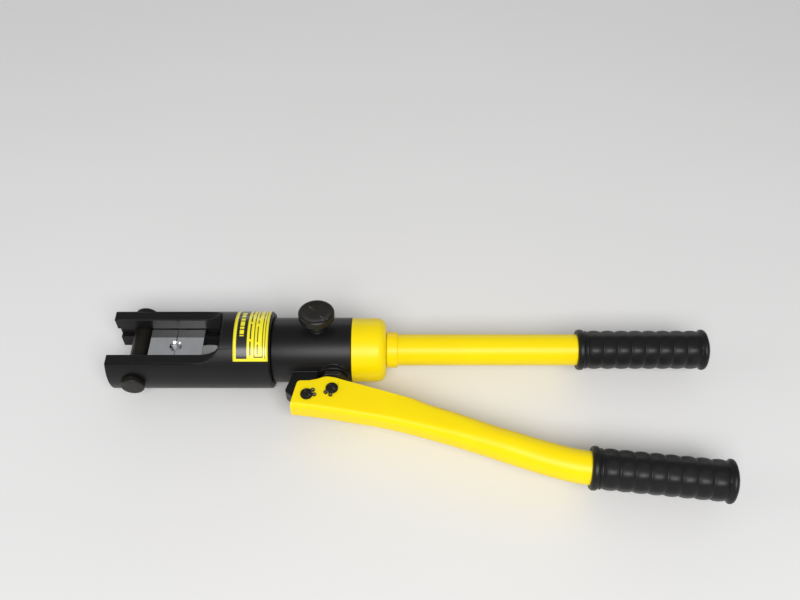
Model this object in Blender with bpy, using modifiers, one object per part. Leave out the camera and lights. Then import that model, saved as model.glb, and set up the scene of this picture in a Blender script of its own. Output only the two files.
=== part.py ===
"""Hand-pumped hydraulic crimping tool: an open fork head with a pair of hexagon dies, a ram, a pump body with a
release knob, a fixed handle that holds the oil, and a pumping lever on two pins.

Sizes are in millimetres, in the tool's own axes: x runs along the barrel from the fork to the handles, y across
the barrel and away from the lever, z up, with the origin on the barrel's axis. The empty tool_axis carries every
part and puts those axes where the object's frame has them, in metres.
"""

import math

import bmesh
import bpy
import numpy as np
from mathutils import Quaternion, Vector

MM = 0.001
GAP = 0.3
FRAME_ORIGIN = (-9.05, 48.4, 30.5)

BIG, MEDIUM, SMALL, TINY = 30, 20, 16, 12

ALONG = Vector((1, 0, 0))
ACROSS = Vector((0, 1, 0))
UP = Vector((0, 0, 1))

# Turns that stand a flat outline in the x-z plane, and in the y-z plane with its first axis along y
FACING_Y = Quaternion(ALONG, math.pi / 2)
FACING_X = Quaternion(Vector((1, 1, 1)).normalized(), 2 * math.pi / 3)

# Fork head
BARREL_R = 30.5
HEAD_FRONT = -227.5
HEAD_REAR = -100.0
SLOT_HALF = 16.5
SLOT_ROOT = -140.0
FLAT_Z = 17.5
RUNOUT_X = -156.2
RUNOUT_R = 20.0
GROOVE_Y = 20.4
EDGE = 1.2

# Head pin across the fork
HEAD_PIN_X = -207.7
HEAD_PIN_R = 7.0
HEAD_PIN_HEAD_R = 9.2
HEAD_PIN_HEAD = 4.6
PIN_SPIGOT_R = 5.0

# Dies, closed on each other at the parting plane
PARTING_X = -178.5
DIE_FRONT = -199.5
DIE_REAR = -156.7
DIE_HALF_Y = 20.0
DIE_HALF_Z = 5.3
HEX_FLATS = 6.5
HEX_MOUTH_R = 4.75

# Ram and its cylinder
ROD_R = 16.0
PISTON_R = 19.7
CYLINDER_R = 20.0
RAM_FACE = -139.7
PISTON_FRONT = -103.5
PISTON_REAR = -91.5
CYLINDER_FRONT = -134.0
WIPER_FRONT = -138.2
WIPER_REAR = -135.8
WIPER_DEPTH = 2.2
SEAL_GROOVE_R = 17.4
SEAL_GROOVE_FRONT = -98.9
SEAL_GROOVE_REAR = -94.7
SEAL_SPLIT = -96.45
RETURN_COIL_R = 18.0
RETURN_WIRE_R = 1.3
CYLINDER_BOTTOM = -91.0
SOCKET_R = 24.5
SOCKET_FRONT = -112.3

# Pump body
BODY_R = 25.7
BODY_REAR = -38.2
SPIGOT_R = 21.7
SPIGOT_REAR = -26.0
NIPPLE_R = 7.5
NIPPLE_REAR = -11.0
VALVE_BORE_R = 3.3
PORT_R = 1.6
BALL_R = 2.5
SEAT_R = 1.2
INLET_STEP = -44.0
OUTLET_Y = -5.0
OUTLET_STEP = -62.0
RELIEF_Y = 9.0
RELIEF_Z = -8.0
RELIEF_STEP = -80.0
VALVE_COIL_R = 2.3
VALVE_WIRE_R = 0.4

# Lever pins and the pump plunger
FULCRUM = (-71.0, -47.5)
CRANK = (-52.0, -42.3)
LEVER_PIN_R = 3.9
LEVER_PIN_HOLE_R = 4.2
PLUNGER_X = -51.9
PLUNGER_R = 5.0
PLUNGER_BORE_R = 5.3
PLUNGER_INNER_Y = 1.0
BOSS_R = 12.5
BOSS_Y = -26.5
GLAND_FLATS = 19.6
GLAND_BORE_R = 8.3
EYE_SLOT = 0.9

# Release valve, tilted away from the lever
KNOB_X = -64.5
KNOB_TILT = math.radians(9.5)
KNOB_R = 14.0
KNOB_TOP = 42.0
KNOB_THICK = 7.5
STEM_R = 4.0
RELEASE_BALL_AT = 9.0
RELEASE_BOSS_R = 6.5
RELEASE_BOSS_TOP = 28.4

# Fixed handle
COLLAR_R = 25.4
COLLAR_FRONT = -37.9
COLLAR_REAR = -10.8
COLLAR_CORNER = 7.5
TUBE_R = 12.5
TUBE_BORE_R = 10.5
TUBE_FRONT = -15.5
TUBE_REAR = 239.0
SOCKET_RING_R = 14.3
SOCKET_RING_REAR = -2.0

# Grips
GRIP_LENGTH = 105.2
GRIP_START = 140.4
FLANGE_R = 16.2
LOBES = 8
LOBE_R = 15.2
VALLEY_R = 14.3
MOVING_GRIP_AT = (138.4, -104.5)
SPLAY = math.radians(6.25)

# Lever: half height and sheet of its channel
LEVER_HALF_Z = 9.0
SHEET = 2.5
CLIP_Z = 9.3
CLIP_THICK = 1.0
CLIP_R = 5.6


def clear_scene():
    for obj in list(bpy.data.objects):
        bpy.data.objects.remove(obj, do_unlink=True)


def new_collection(name):
    collection = bpy.data.collections.new(name)
    bpy.context.scene.collection.children.link(collection)
    return collection


def new_material(name, color, roughness, metallic):
    material = bpy.data.materials.new(name)
    material.use_nodes = True
    shader = material.node_tree.nodes["Principled BSDF"]
    shader.inputs["Base Color"].default_value = (*color, 1.0)
    shader.inputs["Roughness"].default_value = roughness
    shader.inputs["Metallic"].default_value = metallic
    return material


clear_scene()
PARTS = new_collection("hydraulic_crimping_tool")
CUTTERS = new_collection("cutters")

TOOL_AXIS = bpy.data.objects.new("tool_axis", None)
TOOL_AXIS.location = Vector(FRAME_ORIGIN) * MM
PARTS.objects.link(TOOL_AXIS)

LOOKS = {
    "black_paint": ((0.025, 0.025, 0.028), 0.38, 0.0),
    "yellow_paint": ((1.0, 0.72, 0.0), 0.35, 0.0),
    "black_rubber": ((0.02, 0.021, 0.025), 0.45, 0.0),
    "chrome": ((0.85, 0.86, 0.88), 0.08, 1.0),
    "bright_steel": ((0.62, 0.63, 0.65), 0.25, 1.0),
    "black_steel": ((0.03, 0.03, 0.03), 0.4, 0.6),
    "spring_steel": ((0.35, 0.35, 0.37), 0.35, 1.0),
    "seal_rubber": ((0.03, 0.03, 0.03), 0.7, 0.0),
    "brass": ((0.78, 0.57, 0.25), 0.3, 1.0),
    "label_film": ((1.0, 0.9, 0.05), 0.4, 0.0),
}


def own_material(name, look):
    """Each sub-part has its own material, made from one of the named looks."""
    return new_material(name + "_" + look, *LOOKS[look])


def add_object(name, mesh, look, at=(0, 0, 0), turn=None, parent=TOOL_AXIS):
    """Put a mesh in the scene. With no look it is a cutter or a helper, hidden from the render."""
    obj = bpy.data.objects.new(name, mesh)
    obj.location = Vector(at) * MM
    if turn is not None:
        obj.rotation_mode = "QUATERNION"
        obj.rotation_quaternion = turn
    obj.parent = parent
    if look is None:
        CUTTERS.objects.link(obj)
        obj.hide_render = True
        obj.display_type = "WIRE"
    else:
        PARTS.objects.link(obj)
        mesh.materials.append(own_material(name, look))
    return obj


def turned(name, profile, look=None, steps=MEDIUM, at=(0, 0, 0), along=ALONG, parent=TOOL_AXIS):
    """A body of revolution. profile lists (height, radius) from the top of the outer side down to its bottom,
    then back up the inside. It closes on itself unless both its ends are on the axis."""
    points = [(radius * MM, 0.0, height * MM) for height, radius in profile]
    edges = [(i, i + 1) for i in range(len(points) - 1)]
    if profile[0][1] > 0 or profile[-1][1] > 0:
        edges.append((len(points) - 1, 0))
    mesh = bpy.data.meshes.new(name)
    mesh.from_pydata(points, edges, [])
    obj = add_object(name, mesh, look, at, along.to_track_quat("Z", "Y"), parent)
    screw = obj.modifiers.new("turn", "SCREW")
    screw.axis = "Z"
    screw.steps = steps
    screw.render_steps = steps
    screw.use_merge_vertices = True
    screw.merge_threshold = 0.00001
    screw.use_smooth_shade = True
    return obj


def rod(name, low, high, radius, **where):
    """A plain round bar from low to high along its own axis."""
    return turned(name, [(high, 0), (high, radius), (low, radius), (low, 0)], **where)


def ring(name, low, high, inner, outer, **where):
    """A ring of rectangular section, such as a seal."""
    return turned(name, [(high, outer), (low, outer), (low, inner), (high, inner)], **where)


def box(name, low, high, look=None):
    """A block between two corners."""
    bm = bmesh.new()
    bmesh.ops.create_cube(bm, size=1.0)
    size = (Vector(high) - Vector(low)) * MM
    bmesh.ops.scale(bm, vec=size, verts=bm.verts)
    mesh = bpy.data.meshes.new(name)
    bm.to_mesh(mesh)
    bm.free()
    return add_object(name, mesh, look, (Vector(high) + Vector(low)) / 2)


def prism(name, sides, across_flats, low, high, look, at, along):
    """A hexagonal or other regular bar, with two of its corners on the turned local x axis."""
    bm = bmesh.new()
    radius = across_flats / 2 / math.cos(math.pi / sides)
    bmesh.ops.create_cone(
        bm,
        cap_ends=True,
        segments=sides,
        radius1=radius * MM,
        radius2=radius * MM,
        depth=(high - low) * MM,
    )
    bmesh.ops.translate(bm, vec=(0, 0, (high + low) / 2 * MM), verts=bm.verts)
    mesh = bpy.data.meshes.new(name)
    bm.to_mesh(mesh)
    bm.free()
    corners_on_x = Quaternion((0, 0, 1), math.pi / sides)
    return add_object(name, mesh, look, at, along.to_track_quat("Z", "Y") @ corners_on_x)


def slab(name, outline, thick, look=None, at=(0, 0, 0), turn=None):
    """A flat outline with a thickness, centred on its own plane."""
    curve = bpy.data.curves.new(name, "CURVE")
    curve.dimensions = "2D"
    curve.fill_mode = "BOTH"
    curve.extrude = thick / 2 * MM
    spline = curve.splines.new("POLY")
    spline.points.add(len(outline) - 1)
    for point, (x, y) in zip(spline.points, outline):
        point.co = (x * MM, y * MM, 0.0, 1.0)
    spline.use_cyclic_u = True
    holder = bpy.data.objects.new(name + "_outline", curve)
    CUTTERS.objects.link(holder)
    graph = bpy.context.evaluated_depsgraph_get()
    mesh = bpy.data.meshes.new_from_object(holder.evaluated_get(graph))
    bpy.data.objects.remove(holder, do_unlink=True)
    bm = bmesh.new()
    bm.from_mesh(mesh)
    bmesh.ops.remove_doubles(bm, verts=bm.verts, dist=0.000001)
    bmesh.ops.recalc_face_normals(bm, faces=bm.faces)
    bm.to_mesh(mesh)
    bm.free()
    mesh.name = name
    return add_object(name, mesh, look, at, turn)


def arc(center, radius, start, end, count):
    """Points on an arc, with the angles in degrees."""
    angles = [math.radians(start + (end - start) * i / (count - 1)) for i in range(count)]
    return [(center[0] + radius * math.cos(a), center[1] + radius * math.sin(a)) for a in angles]


def ball(name, look, at, radius=BALL_R):
    bm = bmesh.new()
    bmesh.ops.create_uvsphere(bm, u_segments=10, v_segments=6, radius=radius * MM)
    mesh = bpy.data.meshes.new(name)
    bm.to_mesh(mesh)
    bm.free()
    mesh.shade_smooth()
    return add_object(name, mesh, look, at)


def coil(name, low, high, coil_r, wire_r, turns, per_turn, at=(0, 0, 0)):
    """A compression spring along x from low to high: a helix of round wire, its end turns inside both ends."""
    curve = bpy.data.curves.new(name, "CURVE")
    curve.dimensions = "3D"
    curve.bevel_depth = wire_r * MM
    curve.bevel_resolution = 1
    curve.use_fill_caps = True
    count = int(turns * per_turn) + 1
    spline = curve.splines.new("POLY")
    spline.points.add(count - 1)
    first, last = low + wire_r, high - wire_r
    for i, point in enumerate(spline.points):
        angle = 2 * math.pi * i / per_turn
        x = first + (last - first) * i / (count - 1)
        point.co = (x * MM, coil_r * math.cos(angle) * MM, coil_r * math.sin(angle) * MM, 1.0)
    obj = bpy.data.objects.new(name, curve)
    obj.location = Vector(at) * MM
    obj.parent = TOOL_AXIS
    PARTS.objects.link(obj)
    curve.materials.append(own_material(name, "spring_steel"))
    return obj


def change(obj, other, operation="DIFFERENCE"):
    modifier = obj.modifiers.new(other.name, "BOOLEAN")
    modifier.operation = operation
    modifier.object = other
    modifier.solver = "EXACT"


def cut(obj, *cutters):
    for cutter in cutters:
        change(obj, cutter)


def join(obj, *helpers):
    for helper in helpers:
        change(obj, helper, "UNION")


# Fork head -----------------------------------------------------------------------------------------------------


def crimp_head():
    """A round barrel, slotted from the front, with its arms milled flat above and below, guide grooves for the
    dies, the ram's cylinder and the socket for the pump body."""
    head = turned(
        "crimp_head",
        [
            (HEAD_REAR, 0),
            (HEAD_REAR, BARREL_R - EDGE),
            (HEAD_REAR - EDGE, BARREL_R),
            (HEAD_FRONT + EDGE, BARREL_R),
            (HEAD_FRONT, BARREL_R - EDGE),
            (HEAD_FRONT, 0),
        ],
        look="black_paint",
        steps=BIG,
    )
    bore = turned(
        "head_bore",
        [
            (HEAD_REAR + 1, 0),
            (HEAD_REAR + 1, SOCKET_R),
            (SOCKET_FRONT, SOCKET_R),
            (SOCKET_FRONT, CYLINDER_R),
            (CYLINDER_FRONT, CYLINDER_R),
            (CYLINDER_FRONT, ROD_R + GAP),
            (WIPER_REAR, ROD_R + GAP),
            (WIPER_REAR, ROD_R + WIPER_DEPTH),
            (WIPER_FRONT, ROD_R + WIPER_DEPTH),
            (WIPER_FRONT, ROD_R + GAP),
            (SLOT_ROOT - 1, ROD_R + GAP),
            (SLOT_ROOT - 1, 0),
        ],
        steps=BIG,
    )
    slot = box("head_slot", (HEAD_FRONT - 5, -SLOT_HALF, -40), (SLOT_ROOT, SLOT_HALF, 40))
    groove_z = DIE_HALF_Z + GAP
    groove = box("die_groove", (HEAD_FRONT - 5, -GROOVE_Y, -groove_z), (SLOT_ROOT, GROOVE_Y, groove_z))
    cut(head, bore, slot, groove)
    runout = arc((RUNOUT_X, FLAT_Z + RUNOUT_R), RUNOUT_R, -90, 0, 8)
    flat = [(HEAD_FRONT - 5, FLAT_Z)] + runout + [(RUNOUT_X + RUNOUT_R, 50), (HEAD_FRONT - 5, 50)]
    cut(head, slab("upper_flat", flat, 80, turn=FACING_Y))
    lower = [(x, -z) for x, z in reversed(flat)]
    cut(head, slab("lower_flat", lower, 80, turn=FACING_Y))
    cut(head, rod("head_pin_hole", -40, 40, HEAD_PIN_R + GAP, at=(HEAD_PIN_X, 0, 0), along=ACROSS))
    return head


def head_pin():
    """The pin slides out towards the lever's side. Its far end is a spigot that the cap screws on to."""
    under_head = BARREL_R + 0.4
    turned(
        "head_pin",
        [
            (BARREL_R + 3.2, 0),
            (BARREL_R + 3.2, PIN_SPIGOT_R),
            (BARREL_R, PIN_SPIGOT_R),
            (BARREL_R, HEAD_PIN_R),
            (-under_head, HEAD_PIN_R),
            (-under_head, HEAD_PIN_HEAD_R),
            (-under_head - HEAD_PIN_HEAD + 0.8, HEAD_PIN_HEAD_R),
            (-under_head - HEAD_PIN_HEAD, HEAD_PIN_HEAD_R - 0.8),
            (-under_head - HEAD_PIN_HEAD, 0),
        ],
        look="black_steel",
        at=(HEAD_PIN_X, 0, 0),
        along=ACROSS,
    )
    turned(
        "pin_cap",
        [
            (under_head + HEAD_PIN_HEAD, 0),
            (under_head + HEAD_PIN_HEAD, HEAD_PIN_HEAD_R - 0.8),
            (under_head + HEAD_PIN_HEAD - 0.8, HEAD_PIN_HEAD_R),
            (under_head, HEAD_PIN_HEAD_R),
            (under_head, PIN_SPIGOT_R + GAP),
            (BARREL_R + 3.5, PIN_SPIGOT_R + GAP),
            (BARREL_R + 3.5, 0),
        ],
        look="black_steel",
        at=(HEAD_PIN_X, 0, 0),
        along=ACROSS,
    )


def die(name, outer_x, side):
    """Half of the die pair. side is -1 for the half in front of the parting plane and 1 for the one behind it."""
    face = PARTING_X + side * GAP / 2
    half_corner = HEX_FLATS / math.sqrt(3)
    outline = [
        (outer_x, -DIE_HALF_Y),
        (face, -DIE_HALF_Y),
        (face, -half_corner),
        (face + side * HEX_FLATS / 2, -half_corner / 2),
        (face + side * HEX_FLATS / 2, half_corner / 2),
        (face, half_corner),
        (face, DIE_HALF_Y),
        (outer_x, DIE_HALF_Y),
    ]
    block = slab(name, outline, 2 * DIE_HALF_Z, "chrome")
    mouth = [
        (DIE_HALF_Z + 1, 0),
        (DIE_HALF_Z + 1, HEX_MOUTH_R + 1),
        (DIE_HALF_Z - 2, HEX_MOUTH_R - 2),
        (DIE_HALF_Z - 2, 0),
    ]
    for end, direction in (("top", UP), ("bottom", -UP)):
        cone = turned(f"{name}_{end}_mouth", mouth, steps=SMALL, at=(PARTING_X, 0, 0), along=direction)
        cut(block, cone)
    return block


def ram():
    """Piston and rod in one, with a seal and a backup ring in the piston's groove."""
    turned(
        "ram",
        [
            (PISTON_REAR, 0),
            (PISTON_REAR, PISTON_R - 1),
            (PISTON_REAR - 1, PISTON_R),
            (SEAL_GROOVE_REAR, PISTON_R),
            (SEAL_GROOVE_REAR, SEAL_GROOVE_R),
            (SEAL_GROOVE_FRONT, SEAL_GROOVE_R),
            (SEAL_GROOVE_FRONT, PISTON_R),
            (PISTON_FRONT, PISTON_R),
            (PISTON_FRONT, ROD_R),
            (RAM_FACE + 1, ROD_R),
            (RAM_FACE, ROD_R - 1),
            (RAM_FACE, 0),
        ],
        look="bright_steel",
        steps=BIG,
    )
    inner = SEAL_GROOVE_R + GAP
    ring("ram_seal", SEAL_GROOVE_FRONT + GAP, SEAL_SPLIT - GAP / 2, inner, PISTON_R, look="seal_rubber")
    ring("ram_backup_ring", SEAL_SPLIT + GAP / 2, SEAL_GROOVE_REAR - GAP, inner, PISTON_R, look="brass")
    wiper_r = ROD_R + WIPER_DEPTH - GAP
    ring("rod_wiper", WIPER_FRONT + GAP, WIPER_REAR - GAP, ROD_R + GAP, wiper_r, look="seal_rubber")
    spring_room = (CYLINDER_FRONT + GAP, PISTON_FRONT - GAP)
    coil("ram_return_spring", *spring_room, RETURN_COIL_R, RETURN_WIRE_R, turns=4, per_turn=12)


# Pump body -----------------------------------------------------------------------------------------------------


def fulcrum_lug():
    """A plate that stands out of the body to the fulcrum pin. Its nose is the stop for the open lever."""
    nose = (FULCRUM[0] - 14.0, FULCRUM[1] + 6.0)
    outline = [(-64.0, -15.0)]
    outline += [(-79.5, -15.0)]
    outline += arc(nose, 3.0, 150, 233, 5)
    outline += arc(FULCRUM, 7.0, 233, 352, 8)
    return slab("fulcrum_lug", outline, 12.2)


def release_axis():
    return Vector((0, math.sin(KNOB_TILT), math.cos(KNOB_TILT)))


def bore_profile(mouth, step, port_end):
    """A valve's bore from its mouth to the seat's step, then its narrow port. It runs either way along x."""
    profile = [(mouth, 0), (mouth, VALVE_BORE_R), (step, VALVE_BORE_R)]
    profile += [(step, PORT_R), (port_end, PORT_R), (port_end, 0)]
    return profile if mouth > port_end else profile[::-1]


def pump_body():
    """The steel block of the pump: the ram's cylinder at its front, the plunger's bore across it, the valves'
    bores along it, the release valve's bore from above, and the nipple for the oil bladder at its rear."""
    block = turned(
        "pump_body",
        [
            (NIPPLE_REAR, 0),
            (NIPPLE_REAR, NIPPLE_R - 0.8),
            (NIPPLE_REAR - 0.8, NIPPLE_R),
            (SPIGOT_REAR, NIPPLE_R),
            (SPIGOT_REAR, SPIGOT_R),
            (-31.5, SPIGOT_R),
            (-31.5, SPIGOT_R - 1.5),
            (-34.5, SPIGOT_R - 1.5),
            (-34.5, SPIGOT_R),
            (BODY_REAR, SPIGOT_R),
            (BODY_REAR, BODY_R),
            (HEAD_REAR + GAP, BODY_R),
            (HEAD_REAR + GAP, SOCKET_R - GAP),
            (-110.5, SOCKET_R - GAP),
            (-110.5, 0),
        ],
        look="black_paint",
        steps=BIG,
    )
    boss = rod("pump_boss", -26.5, -5.0, BOSS_R, at=(PLUNGER_X, 0, 0), along=ACROSS)
    neck = rod("release_boss", 20, RELEASE_BOSS_TOP, RELEASE_BOSS_R, at=(KNOB_X, 0, 0), along=release_axis())
    join(block, boss, neck, fulcrum_lug())
    cylinder = rod("body_cylinder", -115, CYLINDER_BOTTOM, CYLINDER_R, steps=BIG)
    plunger_bore = turned(
        "plunger_bore",
        [
            (PLUNGER_INNER_Y + 1, 0),
            (PLUNGER_INNER_Y + 1, PLUNGER_BORE_R),
            (-20, PLUNGER_BORE_R),
            (-20, GLAND_BORE_R),
            (-40, GLAND_BORE_R),
            (-40, 0),
        ],
        at=(PLUNGER_X, 0, 0),
        along=ACROSS,
    )
    cut(block, cylinder, plunger_bore)
    inlet = turned(
        "inlet_bore",
        bore_profile(0, INLET_STEP, INLET_STEP - 6),
        steps=TINY,
    )
    outlet = turned(
        "outlet_bore",
        bore_profile(CYLINDER_BOTTOM - 2, OUTLET_STEP, OUTLET_STEP + 7),
        steps=TINY,
        at=(0, OUTLET_Y, 0),
    )
    relief = turned(
        "relief_bore",
        bore_profile(SPIGOT_REAR + 6, RELIEF_STEP, CYLINDER_BOTTOM - 2),
        steps=TINY,
        at=(0, RELIEF_Y, RELIEF_Z),
    )
    release = rod("release_bore", 6.2, 40, STEM_R + GAP, steps=SMALL, at=(KNOB_X, 0, 0), along=release_axis())
    pin_hole = rod("fulcrum_hole", -12, 12, LEVER_PIN_HOLE_R, steps=SMALL, at=(*FULCRUM, 0), along=UP)
    cut(block, inlet, outlet, relief, release, pin_hole)
    return block


def seat_plug(name, low, high, at=(0, 0, 0)):
    """A hollow screw that holds a valve in its bore."""
    ring(name, low, high, SEAT_R, VALVE_BORE_R - GAP, look="brass", steps=TINY, at=at)


def valves():
    """Suction, delivery and relief valves: a ball on its seat, a spring behind it and a screw behind that."""
    ball("inlet_ball", "bright_steel", (-34.2, 0, 0))
    valve_wire = {"coil_r": VALVE_COIL_R, "wire_r": VALVE_WIRE_R, "turns": 3, "per_turn": 8}
    coil("inlet_spring", INLET_STEP + GAP, -37.0, **valve_wire)
    seat_plug("inlet_plug", -31.4, -26.4)
    ball("outlet_ball", "bright_steel", (OUTLET_STEP - BALL_R - GAP, OUTLET_Y, 0))
    coil("outlet_spring", -75.7, -67.6, **valve_wire, at=(0, OUTLET_Y, 0))
    seat_plug("outlet_plug", -81.0, -76.0, at=(0, OUTLET_Y, 0))
    ball("relief_ball", "bright_steel", (RELIEF_STEP + BALL_R + GAP, RELIEF_Y, RELIEF_Z))
    relief_at = (0, RELIEF_Y, RELIEF_Z)
    coil("relief_spring", -74.4, -62.3, **valve_wire, at=relief_at)
    screw = rod("relief_screw", -62.0, -52.0, VALVE_BORE_R - GAP, look="brass", steps=TINY, at=relief_at)
    socket = prism("relief_screw_socket", 6, 2.5, -55.0, -50.0, None, relief_at, ALONG)
    cut(screw, socket)
    turned(
        "suction_filter",
        [
            (-11.5, 0),
            (-11.5, VALVE_BORE_R - GAP),
            (-17.0, VALVE_BORE_R - GAP),
            (-17.0, 2.2),
            (-12.3, 2.2),
            (-12.3, 0),
        ],
        look="brass",
        steps=TINY,
    )


def pump():
    """The plunger with its slotted eye, its seal, and the gland nut that holds the seal."""
    eye = PLUNGER_R + 2.2
    here = {"at": (PLUNGER_X, 0, 0), "along": ACROSS}
    body = rod("pump_plunger", CRANK[1], PLUNGER_INNER_Y, PLUNGER_R, look="bright_steel", **here)
    half_slot = EYE_SLOT
    outline = arc((half_slot, 0), eye, -90, 90, 8) + arc((-half_slot, 0), eye, 90, 270, 8)
    join(body, slab("plunger_eye", outline, 10.4, at=(PLUNGER_X, CRANK[1], 0)))
    hole_r = LEVER_PIN_R + 0.45
    slot = arc((half_slot, 0), hole_r, -90, 90, 8) + arc((-half_slot, 0), hole_r, 90, 270, 8)
    cut(body, slab("plunger_eye_slot", slot, 14, at=(PLUNGER_X, CRANK[1], 0)))
    ring("plunger_seal", -22.6, -20.3, PLUNGER_R + GAP, GLAND_BORE_R - GAP, look="seal_rubber", **here)
    nut = prism("plunger_gland", 6, GLAND_FLATS, BOSS_Y - 3.7, BOSS_Y - GAP, "black_steel", (PLUNGER_X, 0, 0), ACROSS)
    join(nut, rod("gland_skirt", BOSS_Y - 1, -23.0, GLAND_BORE_R - GAP, **here))
    cut(nut, rod("gland_hole", -40, -10, PLUNGER_BORE_R, **here))


def release_valve():
    """Knob and stem turn together and lift a ball off its seat. The stem carries an o-ring."""
    axis = release_axis()
    here = {"at": (KNOB_X, 0, 0), "along": axis}
    under = KNOB_TOP - KNOB_THICK
    ball("release_ball", "bright_steel", Vector((KNOB_X, 0, 0)) + axis * RELEASE_BALL_AT)
    turned(
        "release_stem",
        [
            (under + 4.7, 0),
            (under + 4.7, 3.0),
            (under - GAP, 3.0),
            (under - GAP, STEM_R),
            (20.6, STEM_R),
            (20.6, 2.9),
            (18.0, 2.9),
            (18.0, STEM_R),
            (RELEASE_BALL_AT + BALL_R + GAP, STEM_R),
            (RELEASE_BALL_AT + BALL_R + GAP, 0),
        ],
        look="black_steel",
        steps=SMALL,
        **here,
    )
    ring("stem_seal", 18.3, 20.3, 3.2, STEM_R, look="seal_rubber", steps=SMALL, **here)
    turned(
        "release_knob",
        [
            (KNOB_TOP - 0.6, 0),
            (KNOB_TOP - 0.6, KNOB_R - 3.4),
            (KNOB_TOP, KNOB_R - 2.4),
            (KNOB_TOP, KNOB_R - 1.2),
            (KNOB_TOP - 1.2, KNOB_R),
            (under + 2.0, KNOB_R),
            (under, KNOB_R - 2.0),
            (under, 3.3),
            (under + 5.0, 3.3),
            (under + 5.0, 0),
        ],
        look="black_steel",
        steps=BIG,
        **here,
    )


# Fixed handle --------------------------------------------------------------------------------------------------


def fixed_handle():
    """Collar, ring and tube, with the oil bladder, its clamp and the filler plug inside."""
    corner = arc((COLLAR_REAR - COLLAR_CORNER, COLLAR_R - COLLAR_CORNER), COLLAR_CORNER, 0, 90, 6)
    turned(
        "reservoir_collar",
        corner
        + [
            (COLLAR_FRONT, COLLAR_R),
            (COLLAR_FRONT, SPIGOT_R + GAP),
            (SPIGOT_REAR + GAP, SPIGOT_R + GAP),
            (SPIGOT_REAR + GAP, 14.0),
            (TUBE_FRONT - 0.5, 14.0),
            (TUBE_FRONT - 0.5, TUBE_R + GAP),
            (COLLAR_REAR, TUBE_R + GAP),
        ],
        look="yellow_paint",
        steps=BIG,
    )
    ring("collar_oring", -34.2, -31.8, SPIGOT_R - 1.2, SPIGOT_R, look="seal_rubber", steps=BIG)
    ring("handle_socket", COLLAR_REAR + GAP, SOCKET_RING_REAR, TUBE_R + GAP, SOCKET_RING_R, look="yellow_paint")
    ring("handle_tube", TUBE_FRONT, TUBE_REAR, TUBE_BORE_R, TUBE_R, look="yellow_paint")
    turned(
        "oil_bladder",
        [
            (120.0, 0),
            (119.0, 5.0),
            (115.0, 8.8),
            (110.0, 9.8),
            (-11.0, 9.8),
            (-13.0, 9.0),
            (-25.0, 9.0),
            (-25.0, NIPPLE_R + GAP),
            (-10.0, NIPPLE_R + GAP),
            (-8.0, 8.6),
            (109.0, 8.6),
            (114.0, 7.4),
            (117.8, 4.0),
            (118.6, 0),
        ],
        look="seal_rubber",
    )
    ring("bladder_clamp", -23.0, -19.0, 9.3, 11.0, look="bright_steel")
    plug = rod("filler_plug", 226.0, 236.0, TUBE_BORE_R - GAP, look="brass")
    cut(plug, prism("filler_plug_socket", 6, 8.0, 231.0, 238.0, None, (0, 0, 0), ALONG))
    ring("head_oring", -112.0, -110.8, 21.0, SOCKET_R - GAP, look="seal_rubber", steps=BIG)


def grip_profile():
    """Outer side from the closed end to the front: a flange, a row of round lobes and another flange. Then back
    along the bore."""
    end = GRIP_LENGTH
    profile = [(end, 0), (end, 8.0), (end - 0.8, 12.6), (end - 2.4, 15.4), (end - 4.0, FLANGE_R)]
    profile += [(end - 6.4, FLANGE_R), (end - 7.6, VALLEY_R)]
    first, last = end - 7.6, 10.4
    pitch = (first - last) / LOBES
    for i in range(LOBES):
        top = first - i * pitch
        profile += [(top - 0.3 * pitch, LOBE_R), (top - 0.7 * pitch, LOBE_R), (top - pitch, VALLEY_R)]
    profile += [(9.2, 15.2), (7.6, 14.6), (6.4, FLANGE_R), (1.4, FLANGE_R), (0.0, FLANGE_R - 1.6)]
    profile += [(0.0, TUBE_R + GAP), (end - 3.0, TUBE_R + GAP), (end - 3.0, 0)]
    return profile


def grips():
    look = {"look": "black_rubber", "steps": 16}
    turned("fixed_grip", grip_profile(), at=(GRIP_START, 0, 0), **look)
    splayed = Vector((math.cos(SPLAY), -math.sin(SPLAY), 0))
    turned("moving_grip", grip_profile(), at=(*MOVING_GRIP_AT, 0), along=splayed, **look)


# Lever ---------------------------------------------------------------------------------------------------------

# Each station of the lever: a point on its outer side, a point on its inner side, how far the closed section
# runs past the inner side, half its height, and the radius of its corners. A radius equal to half of both widths
# makes the section round.
LEVER_STATIONS = [
    ((-83.5, -56.5), (-79.0, -34.8), 8.0, 9.0, 4.0),
    ((-70.0, -58.2), (-67.0, -34.2), 8.0, 9.0, 4.0),
    ((-57.0, -60.1), (-55.0, -31.2), 8.0, 9.0, 4.0),
    ((-45.0, -62.2), (-42.0, -34.6), 8.0, 9.0, 4.0),
    ((-34.0, -64.4), (-29.0, -38.7), 8.0, 9.0, 4.2),
    ((-21.0, -66.9), (-14.5, -43.2), 7.0, 9.0, 4.5),
    ((-7.0, -70.2), (1.5, -48.4), 4.0, 9.2, 5.0),
    ((12.0, -75.7), (21.0, -53.5), 0.0, 9.6, 6.0),
    ((29.0, -81.2), (38.5, -59.6), 0.0, 10.3, 7.5),
    ((46.0, -87.2), (54.5, -65.4), 0.0, 11.2, 9.5),
    ((62.0, -93.2), (69.5, -71.0), 0.0, 11.9, 11.4),
    ((77.2, -98.9), (84.0, -76.0), 0.0, 12.4, 12.3),
    ((105.0, -109.0), (111.0, -85.1), 0.0, 12.2, 12.1),
]
CORNER_POINTS = 4


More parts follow.
